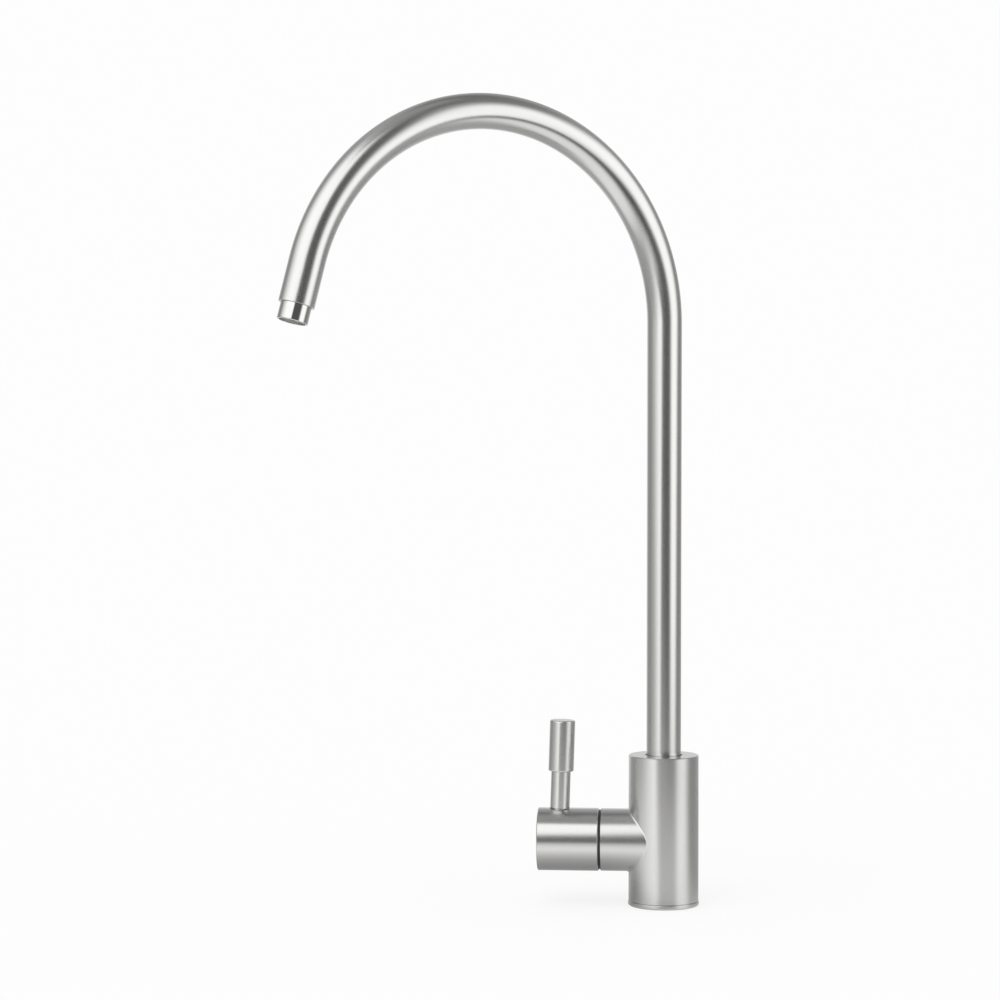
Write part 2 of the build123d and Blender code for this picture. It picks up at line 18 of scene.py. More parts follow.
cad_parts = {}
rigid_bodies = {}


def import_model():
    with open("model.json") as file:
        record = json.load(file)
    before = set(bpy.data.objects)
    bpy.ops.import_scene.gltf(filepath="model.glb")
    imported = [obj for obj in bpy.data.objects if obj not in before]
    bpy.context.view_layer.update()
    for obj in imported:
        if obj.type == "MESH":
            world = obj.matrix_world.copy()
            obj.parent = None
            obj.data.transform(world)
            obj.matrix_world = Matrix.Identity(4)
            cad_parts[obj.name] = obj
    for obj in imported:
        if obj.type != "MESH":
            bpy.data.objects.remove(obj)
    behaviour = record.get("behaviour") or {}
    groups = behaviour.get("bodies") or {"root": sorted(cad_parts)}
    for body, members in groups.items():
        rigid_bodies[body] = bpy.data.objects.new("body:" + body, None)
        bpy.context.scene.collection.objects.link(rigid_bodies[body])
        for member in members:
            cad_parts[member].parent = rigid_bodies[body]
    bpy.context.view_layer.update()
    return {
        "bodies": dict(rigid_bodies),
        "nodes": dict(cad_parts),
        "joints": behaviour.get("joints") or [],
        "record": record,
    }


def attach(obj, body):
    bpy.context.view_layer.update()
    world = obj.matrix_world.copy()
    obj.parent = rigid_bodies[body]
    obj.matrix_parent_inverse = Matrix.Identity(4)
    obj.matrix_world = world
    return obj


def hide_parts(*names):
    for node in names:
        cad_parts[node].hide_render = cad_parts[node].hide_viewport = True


LOG = logging.getLogger("filter_tap")
MM = 0.001

Point = tuple[float, float]
Triple = tuple[float, float, float]
Material = bpy.types.Material
Piece = bpy.types.Object
Tree = bpy.types.NodeTree
# Inputs of a node by name or number.
Inputs = dict[object, object]
# Points with their normals.
Row = Sequence[tuple[Vector, Vector]]

# Places that several pieces share.
BODY_RADIUS = 14.2 * MM
BRANCH_AXIS: Triple = (0.0, 0.0, 26.4 * MM)
ALONG_BRANCH: Triple = (0.0, -math.pi / 2, 0.0)
LEVER_CROWN: Triple = (-42.24 * MM, 0.0, 39.15 * MM)
LEVER_LEAN = math.radians(1.8)
SPOUT_TURN = math.radians(180 + 34.5)

# How far from a wall a finish still counts as on it.
WALL_MARGIN = 0.1 * MM
# Points of a mesh that lie closer together than this are one point.
SAME_POINT = 0.0001 * MM
BLACK = (0.0, 0.0, 0.0, 1.0)
NOISE_MEAN = 0.5
# The two inputs and the output of a Mix node for each kind of data.
MIX_SOCKETS = {"FLOAT": (2, 3, 0), "VECTOR": (4, 5, 1), "RGBA": (6, 7, 2)}
# Socket type of a geometry tree's input for each kind of value.
SOCKET_KINDS = {float: "Float", int: "Int", Material: "Material"}


class Pattern(Enum):
    """Noise that the finishes use: its scale, detail and roughness."""

    LINES = (1.0, 3.0, 0.6)
    STREAKS = (0.16, 2.0, 0.5)
    CLOUDS = (55.0, 4.0, 0.55)
    TARNISH = (120.0, 3.0, 0.5)
    MOTTLE = (240.0, 2.0, 0.5)
    TOOL_MARKS = (2600.0, 2.0, 0.5)
    MOULD = (3800.0, 3.0, 0.5)


@dataclass(frozen=True)
class Value:
    """Output of a node, which plain arithmetic carries on with Math nodes."""

    graph: "Graph"
    socket: bpy.types.NodeSocket

    def __add__(self, other: object) -> "Value":
        """Sum with a number or another value."""
        return self.graph.maths("ADD", self, other)

    def __sub__(self, other: object) -> "Value":
        """Difference from a number or another value."""
        return self.graph.maths("SUBTRACT", self, other)

    def __mul__(self, other: object) -> "Value":
        """Product with a number or another value."""
        return self.graph.maths("MULTIPLY", self, other)

    def __truediv__(self, other: object) -> "Value":
        """Quotient by a number or another value."""
        return self.graph.maths("DIVIDE", self, other)

    def between(self, low: object, high: object) -> "Value":
        """The value, kept between two limits."""
        return self.graph.maths("MINIMUM", self.graph.maths("MAXIMUM", self, low), high)


@dataclass(frozen=True)
class Graph:
    """A node tree that is being built, with the inputs that it is given."""

    tree: Tree
    given: dict[str, Value] = field(default_factory=dict)

    def put(self, socket: bpy.types.NodeSocket, value: object) -> None:
        """Set an input to a plain value, or join it to another node.

        Args:
            socket: The input.
            value: What it gets.
        """
        if isinstance(value, Value):
            self.tree.links.new(value.socket, socket)
        else:
            socket.default_value = value

    def node(self, kind: str, inputs: Inputs | None = None, **settings: object) -> bpy.types.Node:
        """Add any node.

        Args:
            kind: Its type name.
            inputs: Its inputs by name or number.
            settings: Its own settings.

        Returns:
            The node.
        """
        node = self.tree.nodes.new(kind)
        for name, value in settings.items():
            setattr(node, name, value)
        for name, value in (inputs or {}).items():
            self.put(node.inputs[name], value)
        return node

    def value(
        self, kind: str, inputs: Inputs | None = None, output: int | str = 0, **settings: object
    ) -> Value:
        """Add any node and return one of its outputs, the first unless another is named."""
        return Value(self, self.node(kind, inputs, **settings).outputs[output])

    def maths(self, operation: str, *values: object, clamp: bool = False) -> Value:
        """Add a Math node, whose result may be kept from 0 to 1."""
        inputs = dict(enumerate(values))
        return self.value("ShaderNodeMath", inputs, operation=operation, use_clamp=clamp)

    def outputs(
        self, kind: str, inputs: Inputs | None = None, **settings: object
    ) -> dict[str, Value]:
        """Add any node and return its outputs by name."""
        sockets = self.node(kind, inputs, **settings).outputs
        return {socket.name: Value(self, socket) for socket in sockets}

    def shape(self, kind: str, **inputs: object) -> Value:
        """Add a geometry node, where _ stands for a space in the names of its inputs."""
        named = {name.replace("_", " "): value for name, value in inputs.items()}
        return self.value(f"GeometryNode{kind}", named)

    def circle(self, sides: object, radius: Value) -> Value:
        """Circle or polygon with its middle at the origin."""
        return self.shape("CurvePrimitiveCircle", Resolution=sides, Radius=radius)

    def together(self, *parts: Value) -> Value:
        """Join several geometries.

        Args:
            parts: The geometries.

        Returns:
            All of them as one.
        """
        node = self.node("GeometryNodeJoinGeometry")
        for part in parts:
            self.put(node.inputs[0], part)
        return Value(self, node.outputs[0])

    def split(self, vector: Value) -> list[Value]:
        """The three parts of a vector."""
        return list(self.outputs("ShaderNodeSeparateXYZ", {0: vector}).values())

    def joined(self, *parts: object) -> Value:
        """A vector of three parts."""
        return self.value("ShaderNodeCombineXYZ", dict(enumerate(parts)))

    def mixed(self, kind: str, amount: object, first: object, second: object) -> Value:
        """Mix two numbers, vectors or colours.

        Args:
            kind: FLOAT, VECTOR or RGBA.
            amount: Share of the second.
            first: The first of them.
            second: The second.

        Returns:
            The mixture.
        """
        low, high, output = MIX_SOCKETS[kind]
        inputs = {0: amount, low: first, high: second}
        return self.value("ShaderNodeMix", inputs, output, data_type=kind)

    def noise(self, place: Value, pattern: Pattern) -> Value:
        """Noise of a pattern at a position."""
        inputs = dict(zip(("Vector", "Scale", "Detail", "Roughness"), (place, *pattern.value)))
        return self.value("ShaderNodeTexNoise", inputs)

    def object_place(self) -> Value:
        """Position on the piece, in its object's own coordinates."""
        return self.value("ShaderNodeTexCoord", output="Object")

    def reach(self, place: Value) -> Value:
        """Distance of a position from its Z axis."""
        x, y, _ = self.split(place)
        return self.maths("SQRT", x * x + y * y)

    def group(self, group: Tree, **inputs: object) -> dict[str, Value]:
        """Add a node group and return its outputs by name."""
        return self.outputs("ShaderNodeGroup", inputs, node_tree=group)

    def either(self, amount: Value, first: Value, second: Value) -> Value:
        """Two shaders, mixed by an amount."""
        return self.value("ShaderNodeMixShader", {0: amount, 1: first, 2: second})


def open_group(name: str, kind: str, inputs: dict[str, str]) -> Graph:
    """Start a node group with named inputs.

    Args:
        name: Its name.
        kind: Shader or Geometry.
        inputs: Socket type by name: Float, Int, Vector or Material.

    Returns:
        The group's graph.
    """
    graph = Graph(bpy.data.node_groups.new(name, f"{kind}NodeTree"))
    for label, socket in inputs.items():
        graph.tree.interface.new_socket(label, in_out="INPUT", socket_type=f"NodeSocket{socket}")
    graph.given.update(graph.outputs("NodeGroupInput"))
    return graph


def close_group(graph: Graph, kind: str, outputs: dict[str, Value]) -> Tree:
    """End a node group with named outputs.

    Args:
        graph: The group's graph.
        kind: Socket type of the outputs.
        outputs: What they put out, by name.

    Returns:
        The group.
    """
    for label in outputs:
        graph.tree.interface.new_socket(label, in_out="OUTPUT", socket_type=f"NodeSocket{kind}")
    graph.node("NodeGroupOutput", outputs)
    return graph.tree


def brush_lines() -> Tree:
    """Build the group that draws fine brush lines with broader faint streaks.

    Returns:
        The group. Its Place input is a position that is already stretched along the lines.
    """
    inputs = dict.fromkeys(("Roughness", "Spread", "Streaks"), "Float") | {"Place": "Vector"}
    graph = open_group("brush_lines", "Shader", inputs)
    given = graph.given
    lines = graph.noise(given["Place"], Pattern.LINES)
    streaks = graph.noise(given["Place"], Pattern.STREAKS)
    height = lines + (streaks - NOISE_MEAN) * given["Streaks"]
    results = {
        "Height": height,
        "Roughness": (height - NOISE_MEAN) * given["Spread"] + given["Roughness"],
        "Tone": graph.maths("ADD", height, 0.0, clamp=True),
    }
    return close_group(graph, "Float", results)


def handling_marks() -> Tree:
    """Build the group that clouds a roughness faintly, as handling and wiping do.

    Returns:
        The group.
    """
    inputs = {"Place": "Vector", "Roughness": "Float", "Amount": "Float"}
    graph = open_group("handling_marks", "Shader", inputs)
    given = graph.given
    clouds = graph.noise(given["Place"], Pattern.CLOUDS)
    roughness = (clouds - NOISE_MEAN) * given["Amount"] + given["Roughness"]
    return close_group(graph, "Float", {"Roughness": roughness})


def thread_ridges() -> Tree:
    """Build the group that draws a screw thread round the Z axis of a position.

    Returns:
        The group. Its Height is 0 away from the threaded wall.
    """
    inputs = dict.fromkeys(("Radius", "Start", "End", "Pitch"), "Float") | {"Place": "Vector"}
    graph = open_group("thread_ridges", "Shader", inputs)
    given = graph.given
    x, y, z = graph.split(given["Place"])
    turns = graph.maths("ARCTAN2", y, x) / (2 * math.pi)
    phase = graph.maths("FRACT", turns + z / given["Pitch"])
    ridge = graph.maths("ABSOLUTE", phase - 0.5)
    from_axis = graph.reach(given["Place"])
    on_wall = graph.maths("COMPARE", from_axis, given["Radius"], WALL_MARGIN)
    above = graph.maths("GREATER_THAN", z, given["Start"])
    below = graph.maths("LESS_THAN", z, given["End"])
    return close_group(graph, "Float", {"Height": ridge * above * below * on_wall})


@dataclass
class Effects:
    """The node groups that several finishes share, each built once."""

    brush_lines: Tree = field(default_factory=brush_lines)
    handling_marks: Tree = field(default_factory=handling_marks)
    thread_ridges: Tree = field(default_factory=thread_ridges)


@dataclass(frozen=True)
class Thread:
    """A screw thread that a finish draws on a plain wall round the Z axis."""

    radius: float
    start: float
    end: float
    pitch: float


@dataclass
class Blank:
    """A new material that holds only its Principled shader."""

    name: str
    effects: Effects
    material: Material = field(init=False)
    graph: Graph = field(init=False)
    shader: bpy.types.Node = field(init=False)

    def __post_init__(self) -> None:
        """Make the material."""
        self.material = bpy.data.materials.new(self.name)
        self.material.use_nodes = True
        self.graph = Graph(self.material.node_tree)
        nodes = self.graph.tree.nodes
        self.shader = next(node for node in nodes if node.type == "BSDF_PRINCIPLED")

    def colour(
        self, amount: Value, dark: Triple, light: Triple, shade: Value | None = None
    ) -> None:
        """Colour the surface.

        Args:
            amount: Where the colour is light.
            dark: The dark colour.
            light: The light colour.
            shade: How far it is taken towards black, as painted shade.
        """
        colour = self.graph.mixed("RGBA", amount, (*dark, 1.0), (*light, 1.0))
        if shade is not None:
            colour = self.graph.mixed("RGBA", shade, colour, BLACK)
        self.graph.put(self.shader.inputs["Base Color"], colour)

    def rough(self, roughness: object, marks: float) -> None:
        """Cloud a roughness with handling marks and use it.

        Args:
            roughness: The roughness.
            marks: How much it is clouded.
        """
        place = self.graph.object_place()
        group = self.effects.handling_marks
        clouded = self.graph.group(group, Place=place, Roughness=roughness, Amount=marks)
        self.graph.put(self.shader.inputs["Roughness"], clouded["Roughness"])

    def relief(self, height: Value, depth: float, thread: Thread | None = None) -> None:
        """Raise the surface.

        Args:
            height: The height, from 0 to 1.
            depth: What a height of 1 stands for.
            thread: A thread to draw over it.
        """
        inputs = {"Strength": 1.0, "Distance": depth, "Height": height}
        normal = self.graph.value("ShaderNodeBump", inputs)
        if thread is not None:
            ridges = self.graph.group(
                self.effects.thread_ridges,
                Place=self.graph.object_place(),
                Radius=thread.radius,
                Start=thread.start,
                End=thread.end,
                Pitch=thread.pitch,
            )
            inputs |= {"Distance": thread.pitch, "Height": ridges["Height"], "Normal": normal}
            normal = self.graph.value("ShaderNodeBump", inputs)
        self.graph.put(self.shader.inputs["Normal"], normal)


class Grain(Enum):
    """Which way a steel piece was brushed."""

    ROUND = "round its own axis"
    LENGTHWISE = "along a bent tube"
    BRANCHED = "round the upright, and round the branch beyond it"


@dataclass(frozen=True)
class SatinSteel:
    """Brushed stainless steel."""

    grain: Grain
    centre: Triple = (0.0, 0.0, 0.0)  # A point on its turning axis.
    tilt: Triple = (0.0, 0.0, 0.0)  # Rotation that takes Z to that axis.
    thread: Thread | None = None
    light: Triple = (0.67, 0.667, 0.658)  # Crests of the brush lines.
    dark: Triple = (0.62, 0.617, 0.608)  # Valleys of the brush lines.
    roughness: float = 0.25
    spread: float = 0.05  # How much the lines change the roughness.
    streaks: float = 0.15  # Strength of the broad streaks.
    marks: float = 0.03  # How much handling clouds the roughness.
    bump: float = 0.0025 * MM
    across: float = 5200.0  # Lines in a metre, across them.
    along: float = 140.0  # Breaks in a metre, along them.
    skew: float = 0.7  # Turns the breaks, so that they don't meet on an axis.
    seam_painted_shade_from: float = math.inf  # Where along its axis its edge at a seam starts to get painted shade.
    seam_painted_shade_share: float = 0.75  # How far that painted shade takes the edge towards black.

    def rings(self, graph: Graph, place: Value) -> Value:
        """Stretch a position round its Z axis, on walls and end faces alike.

        Args:
            graph: The material's graph.
            place: The position.

        Returns:
            The stretched position.
        """
        x, y, z = graph.split(place)
        aside = (y * self.skew + x) * self.along
        return graph.joined(graph.reach(place) * self.across, z * self.across, aside)

    def turned(self, graph: Graph) -> Value:
        """Position in the frame of its turning axis."""
        inputs = {"Vector": graph.object_place(), "Location": self.centre, "Rotation": self.tilt}
        return graph.value("ShaderNodeMapping", inputs, vector_type="TEXTURE")

    def line_place(self, graph: Graph) -> Value:
        """Position stretched along the brush lines.

        Args:
            graph: The material's graph.

        Returns:
            The stretched position.
        """
        if self.grain is Grain.LENGTHWISE:
            laid_out = graph.value(
                "ShaderNodeAttribute", output="Vector", attribute_name=Gooseneck.PLACE
            )
            scale = (self.across, self.across, self.along)
            inputs = {0: laid_out, 1: scale}
            return graph.value("ShaderNodeVectorMath", inputs, operation="MULTIPLY")
        turned = self.rings(graph, self.turned(graph))
        if self.grain is Grain.ROUND:
            return turned
        place = graph.object_place()
        upright_edge = BODY_RADIUS + WALL_MARGIN / 2
        on_branch = graph.maths("GREATER_THAN", graph.reach(place), upright_edge)
        return graph.mixed("VECTOR", on_branch, self.rings(graph, place), turned)

    def make(self, blank: Blank) -> None:
        """Brush a blank material.

        Args:
            blank: The material.
        """
        graph = blank.graph
        lines = graph.group(
            blank.effects.brush_lines,
            Place=self.line_place(graph),
            Roughness=self.roughness,
            Spread=self.spread,
            Streaks=self.streaks,
        )
        # Painted shade: the edge beside a seam is taken towards black, as the gap's shadow would be.
        shade = None
        if self.seam_painted_shade_from < math.inf:
            along = graph.split(self.turned(graph))[2]
            shade = graph.maths("GREATER_THAN", along, self.seam_painted_shade_from) * self.seam_painted_shade_share
        blank.shader.inputs["Metallic"].default_value = 1.0
        blank.colour(lines["Tone"], self.dark, self.light, shade)
        blank.rough(lines["Roughness"], self.marks)
        blank.relief(lines["Height"], self.bump, self.thread)


@dataclass(frozen=True)
class Plain:
    """A finish with no brush lines: polished, turned, moulded or lapped."""

    colour: Triple
    roughness: float
    metal: bool = True
    mottle: float = 0.06  # How far the colour wanders.
    patches: Pattern = Pattern.TARNISH
    marks: float = 0.03  # How much handling clouds the roughness.
    texture: Pattern = Pattern.TOOL_MARKS
    depth: float = 0.001 * MM

    def make(self, blank: Blank) -> None:
        """Finish a blank material.

        Args:
            blank: The material.
        """
        graph = blank.graph
        place = graph.object_place()
        darker = tuple(channel * (1 - self.mottle) for channel in self.colour)
        blank.shader.inputs["Metallic"].default_value = float(self.metal)
        blank.colour(graph.noise(place, self.patches), darker, self.colour)
        blank.rough(self.roughness, self.marks)
        blank.relief(graph.noise(place, self.texture), self.depth)


def moulded(
    colour: Triple, roughness: float, mottle: float = 0.08, depth: float = 0.004 * MM
) -> Plain:
    """Rubber, plastic or ceramic with a fine moulded or lapped surface."""
    noises = {"patches": Pattern.MOTTLE, "texture": Pattern.MOULD}
    return Plain(colour, roughness, metal=False, mottle=mottle, marks=0.08, depth=depth, **noises)


class Finish(Enum):
    """Every finish on the tap."""

    SATIN_TUBE = SatinSteel(Grain.LENGTHWISE)
    SATIN_BODY = SatinSteel(
        Grain.BRANCHED,
        BRANCH_AXIS,
        ALONG_BRANCH,
        thread=Thread(radius=5.45 * MM, start=0.6 * MM, end=15.5 * MM, pitch=1.0 * MM),
        # The branch's end beside the hub gets painted shade, for the shadow in the seam.
        seam_painted_shade_from=25.24 * MM,
    )
    SATIN_RING = SatinSteel(Grain.ROUND)
    SATIN_HUB = SatinSteel(Grain.ROUND, BRANCH_AXIS, ALONG_BRANCH, roughness=0.22)
    SATIN_LEVER = SatinSteel(Grain.ROUND, LEVER_CROWN, (0.0, LEVER_LEAN, 0.0))
    POLISHED_STEEL = Plain((0.67, 0.667, 0.657), 0.07)
    TURNED_BRASS = Plain((0.78, 0.6, 0.32), 0.28, depth=0.003 * MM)
    DARK_SCREW = Plain((0.32, 0.32, 0.32), 0.35, marks=0.08, depth=0.004 * MM)
    SEAL_RUBBER = moulded((0.03, 0.03, 0.03), 0.5)
    BLACK_PLASTIC = moulded((0.035, 0.035, 0.037), 0.45)
    WHITE_PLASTIC = moulded((0.86, 0.86, 0.83), 0.45, mottle=0.03)
    CERAMIC = moulded((0.9, 0.89, 0.86), 0.15, mottle=0.03, depth=0.001 * MM)


def place_object(name: str, data: bpy.types.ID) -> Piece:
    """Put a mesh, a camera or a lamp into the scene.

    Args:
        name: The object's name.
        data: What it shows.

    Returns:
        The object, at the origin.
    """
    piece = bpy.data.objects.new(name, data)
    bpy.context.scene.collection.objects.link(piece)
    return piece


@dataclass
class MeshBuilder:
    """Collects faces with the exact normal of each corner, and shares equal points."""

    points: list[Vector] = field(default_factory=list)
    faces: list[list[int]] = field(default_factory=list)
    normals: list[Vector] = field(default_factory=list)
    known: dict[tuple[int, ...], int] = field(default_factory=dict)

    def index(self, point: Vector) -> int:
        """Number of a point, the same for points that fall together.

        Args:
            point: The point.

        Returns:
            Its number.
        """
        key = tuple(round(value / SAME_POINT) for value in point)
        if key not in self.known:
            self.known[key] = len(self.points)
            self.points.append(point)
        return self.known[key]

    def face(self, corners: Row) -> None:
        """Add a face, or a smaller one where corners fall together.

        Args:
            corners: Point and normal of each corner, counter-clockwise seen from outside.
        """
        kept: dict[int, Vector] = {}
        for point, normal in corners:
            kept.setdefault(self.index(point), normal)
        if len(kept) > 2:
            self.faces.append(list(kept))
            self.normals.extend(kept.values())

    def band(self, low: Row, high: Row) -> None:
        """Add the faces between two closed rows.

        Args:
            low: Points and normals of one row.
            high: The same of the next row.
        """
        for i, corner in enumerate(low):
            j = (i + 1) % len(low)
            self.face([corner, low[j], high[j], high[i]])

    def build(self, name: str) -> Piece:
        """Make the object.

        Args:
            name: Its name.

        Returns:
            The object, at the origin.
        """
        mesh = bpy.data.meshes.new(name)
        mesh.from_pydata(self.points, [], self.faces)
        mesh.shade_smooth()
        mesh.normals_split_custom_set(self.normals)
        return place_object(name, mesh)


@dataclass(frozen=True)
class Corner:
    """A corner of a turned outline: radius, height and how far it is rounded."""

    radius: float
    height: float
    round: float = 0.0

    def place(self) -> Vector:
        """Its place in the plane of radius and height."""
        return Vector((self.radius, self.height))


@dataclass
class Turning:
    """A piece turned on a lathe, about the Z axis of its frame.

    Its closed outline runs counter-clockwise with the radius to the right.
    """

    name: str
    corners: Sequence[Corner]
    frame: Matrix
    sides: int = 144
    steps: int = 6  # Faces across each rounding.
    crease: float = math.radians(40)  # Largest turn that is still drawn smooth.
    likeness: float = 1.5  # Largest ratio of two runs of one rounding.

    def outline(self) -> list[Vector]:
        """Round the outline's corners.

        Returns:
            Its points.
        """
        points: list[Vector] = []
        for i, corner in enumerate(self.corners):
            here = corner.place()
            if corner.round == 0:
                points.append(here)
                continue
            back = (self.corners[i - 1].place() - here).normalized()
            ahead = (self.corners[(i + 1) % len(self.corners)].place() - here).normalized()
            half = back.angle(ahead) / 2
            centre = here + (back + ahead).normalized() * corner.round / math.sin(half)
            start = here + back * corner.round / math.tan(half) - centre
            end = here + ahead * corner.round / math.tan(half) - centre
            for step in range(self.steps + 1):
                aimed = start.slerp(end, step / self.steps).normalized()
                points.append(centre + aimed * corner.round)
        return points

    def facings(self, points: Sequence[Vector]) -> list[tuple[Vector, Vector]]:
        """Work out the outline's normals.

        A smooth point has one normal: the mean inside a rounding, and else that of its
        longer run.

        Args:
            points: The outline's points.

        Returns:
            The normals before and after each point.
        """
        runs = [points[(i + 1) % len(points)] - point for i, point in enumerate(points)]
        faced = [Vector((run.y, -run.x)).normalized() for run in runs]
        facings = []
        for i, after in enumerate(faced):
            before = faced[i - 1]
            if before.angle(after, 0) < self.crease:
                lengths = (runs[i - 1].length, runs[i].length)
                if max(lengths) < self.likeness * min(lengths):
                    before = after = before.lerp(after, 0.5)
                elif lengths[0] < lengths[1]:
                    before = after
                else:
                    after = before
            facings.append((before.normalized(), after.normalized()))
        return facings

    def ring(self, place: Vector, facing: Vector) -> list[tuple[Vector, Vector]]:
        """Turn one outline point round the axis.

        Args:
            place: The point.
            facing: Its normal.

        Returns:
            The ring's points and normals.
        """
        turn = self.frame.to_3x3()
        ring = []
        for i in range(self.sides):
            angle = 2 * math.pi * i / self.sides
            c, s = math.cos(angle), math.sin(angle)
            point = self.frame @ Vector((place.x * c, place.x * s, place.y))
            ring.append((point, turn @ Vector((facing.x * c, facing.x * s, facing.y))))
        return ring

    def make(self) -> Piece:
        """Turn the piece.

        Returns:
            The piece.
        """
        points = self.outline()
        facings = self.facings(points)
        builder = MeshBuilder()
        for i, place in enumerate(points):
            j = (i + 1) % len(points)
            if place.x > 0 or points[j].x > 0:
                low = self.ring(place, facings[i][1])
                builder.band(low, self.ring(points[j], facings[j][0]))
        return builder.build(self.name)


def grown(
    name: str,
    values: dict[str, object],
    grow: Callable[[Graph], Value],
    finishers: Sequence[tuple[str, dict[str, object]]] = (),
) -> Piece:
    """Grow a piece with Geometry Nodes and turn it into a plain mesh.

    Args:
        name: The piece's name.
        values: Inputs of its tree by name, where Finish is its material.
        grow: What adds the nodes and returns the geometry.
        finishers: Kind and settings of modifiers that follow the tree.

    Returns:
        The piece, at the origin and with no modifiers.
    """
    kinds = {label: SOCKET_KINDS[type(value)] for label, value in values.items()}
    graph = open_group(f"{name}_tree", "Geometry", kinds)
    realised = graph.shape("RealizeInstances", Geometry=grow(graph))
    finished = graph.shape("SetMaterial", Geometry=realised, Material=graph.given["Finish"])
    tree = close_group(graph, "Geometry", {"Geometry": finished})
    seed = place_object(f"{name}_seed", bpy.data.meshes.new(f"{name}_seed"))
    grower = seed.modifiers.new("tree", "NODES")
    grower.node_group = tree
    for item in tree.interface.items_tree:
        if item.in_out == "INPUT":
            grower[item.identifier] = values[item.name]
    for kind, settings in finishers:
        modifier = seed.modifiers.new(kind.lower(), kind)
        for label, value in settings.items():
            setattr(modifier, label, value)
    evaluated = seed.evaluated_get(bpy.context.evaluated_depsgraph_get())
    mesh = bpy.data.meshes.new_from_object(evaluated)
    mesh.name = name
    for modifier in list(seed.modifiers):
        seed.modifiers.remove(modifier)
    bpy.data.objects.remove(seed)
    return place_object(name, mesh)


def turned(frame: Matrix, **outlines: Sequence[Corner]) -> dict[str, Piece]:
    """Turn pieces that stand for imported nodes.

    Args:
        frame: Their frame, whose Z is the turning axis.
        outlines: Their outlines by node.

    Returns:
        The pieces by node.
    """
    return {
        node: Turning(f"turned_{node}", corners, frame).make()
        for node, corners in outlines.items()
    }


@dataclass
class Dresser:
    """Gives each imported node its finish, and lets made pieces stand for nodes."""

    frame: dict
    effects: Effects = field(default_factory=Effects)
    made: dict[Finish, Material] = field(default_factory=dict)

    def material(self, finish: Finish) -> Material:
        """Build the material of a finish, the first time it is asked for.

        Args:
            finish: The finish.

        Returns:
            Its material.
        """
        if finish not in self.made:
            blank = Blank(finish.name.lower(), self.effects)
            finish.value.make(blank)
            self.made[finish] = blank.material
        return self.made[finish]

    def dress(self, node: str, finish: Finish) -> None:
        """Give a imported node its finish."""
        self.frame["nodes"][node].material_slots[0].material = self.material(finish)
        LOG.info("dressed %s in %s", node, finish.name.lower())

    def stand_in(self, piece: Piece, node: str, finish: Finish) -> None:
        """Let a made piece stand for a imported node, on its body and with its slot.

        Args:
            piece: The piece.
            node: The node that it replaces.
            finish: Its finish.
        """
        record = self.frame["record"]
        if not piece.data.materials:
            piece.data.materials.append(self.material(finish))
        bodies = record["behaviour"]["bodies"]
        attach(piece, next(body for body, nodes in bodies.items() if node in nodes))
        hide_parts(node)
        LOG.info("made %s for %s, %d faces", piece.name, node, len(piece.data.polygons))


@dataclass
class SubAssembly:
    """One group of pieces that belong together on the tap.

    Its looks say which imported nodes, or the pieces that stand for them, have each finish.
    """

    looks: ClassVar[dict[Finish, tuple[str, ...]]]

    def make(self, dresser: Dresser) -> dict[str, Piece]:
        """Pieces that it makes itself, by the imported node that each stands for."""
        return {}

    def build(self, dresser: Dresser) -> None:
        """Make its pieces and give each node its finish.

        Args:
            dresser: What gives out the finishes.
        """
        made = self.make(dresser)
        for finish, nodes in self.looks.items():
            for node in nodes:
                if node in made:
                    dresser.stand_in(made[node], node, finish)
                else:
                    dresser.dress(node, finish)


@dataclass
class Foot(SubAssembly):
    """The ring under the body and the seal in its underside."""

    looks = {Finish.SATIN_RING: ("base_ring",), Finish.SEAL_RUBBER: ("base_gasket",)}

    outer: float = 14.4 * MM
    inner: float = 11.1 * MM
    height: float = 1.9 * MM
    edge_round: float = 0.8 * MM
    rim_round: float = 0.2 * MM
    groove: Point = (11.6 * MM, 13.2 * MM)  # Inner and outer radius of the seal's groove.
    groove_depth: float = 1.3 * MM

    def make(self, dresser: Dresser) -> dict[str, Piece]:
        """Turn the ring.

        Args:
            dresser: What gives out the finishes; not used.

        Returns:
            The ring, by its node.
        """
        inside, outside = self.groove
        corners = (
            Corner(self.inner, 0.0),
            Corner(inside, 0.0),
            Corner(inside, self.groove_depth),
            Corner(outside, self.groove_depth),
            Corner(outside, 0.0),
            Corner(self.outer, 0.0, self.edge_round),
            Corner(self.outer, self.height, self.rim_round),
            Corner(self.inner, self.height),
        )
        return turned(Matrix.Identity(4), base_ring=corners)


@dataclass
class Body(SubAssembly):
    """The upright body with its branch, and what holds and guides the spout in it."""

    looks = {
        Finish.SATIN_BODY: ("tap_body",),
        Finish.BLACK_PLASTIC: ("spout_slide_ring",),
        Finish.DARK_SCREW: ("spout_lock_screw",),
    }


@dataclass
class Valve(SubAssembly):
    """The quarter-turn cartridge in the branch."""

    looks = {
        Finish.TURNED_BRASS: ("cartridge_body", "spindle"),
        Finish.SEAL_RUBBER: ("cartridge_seal", "cartridge_oring", "spindle_oring"),
        Finish.CERAMIC: ("fixed_disc", "moving_disc"),
        Finish.WHITE_PLASTIC: ("thrust_washer",),
        Finish.DARK_SCREW: ("spindle_clip",),
    }


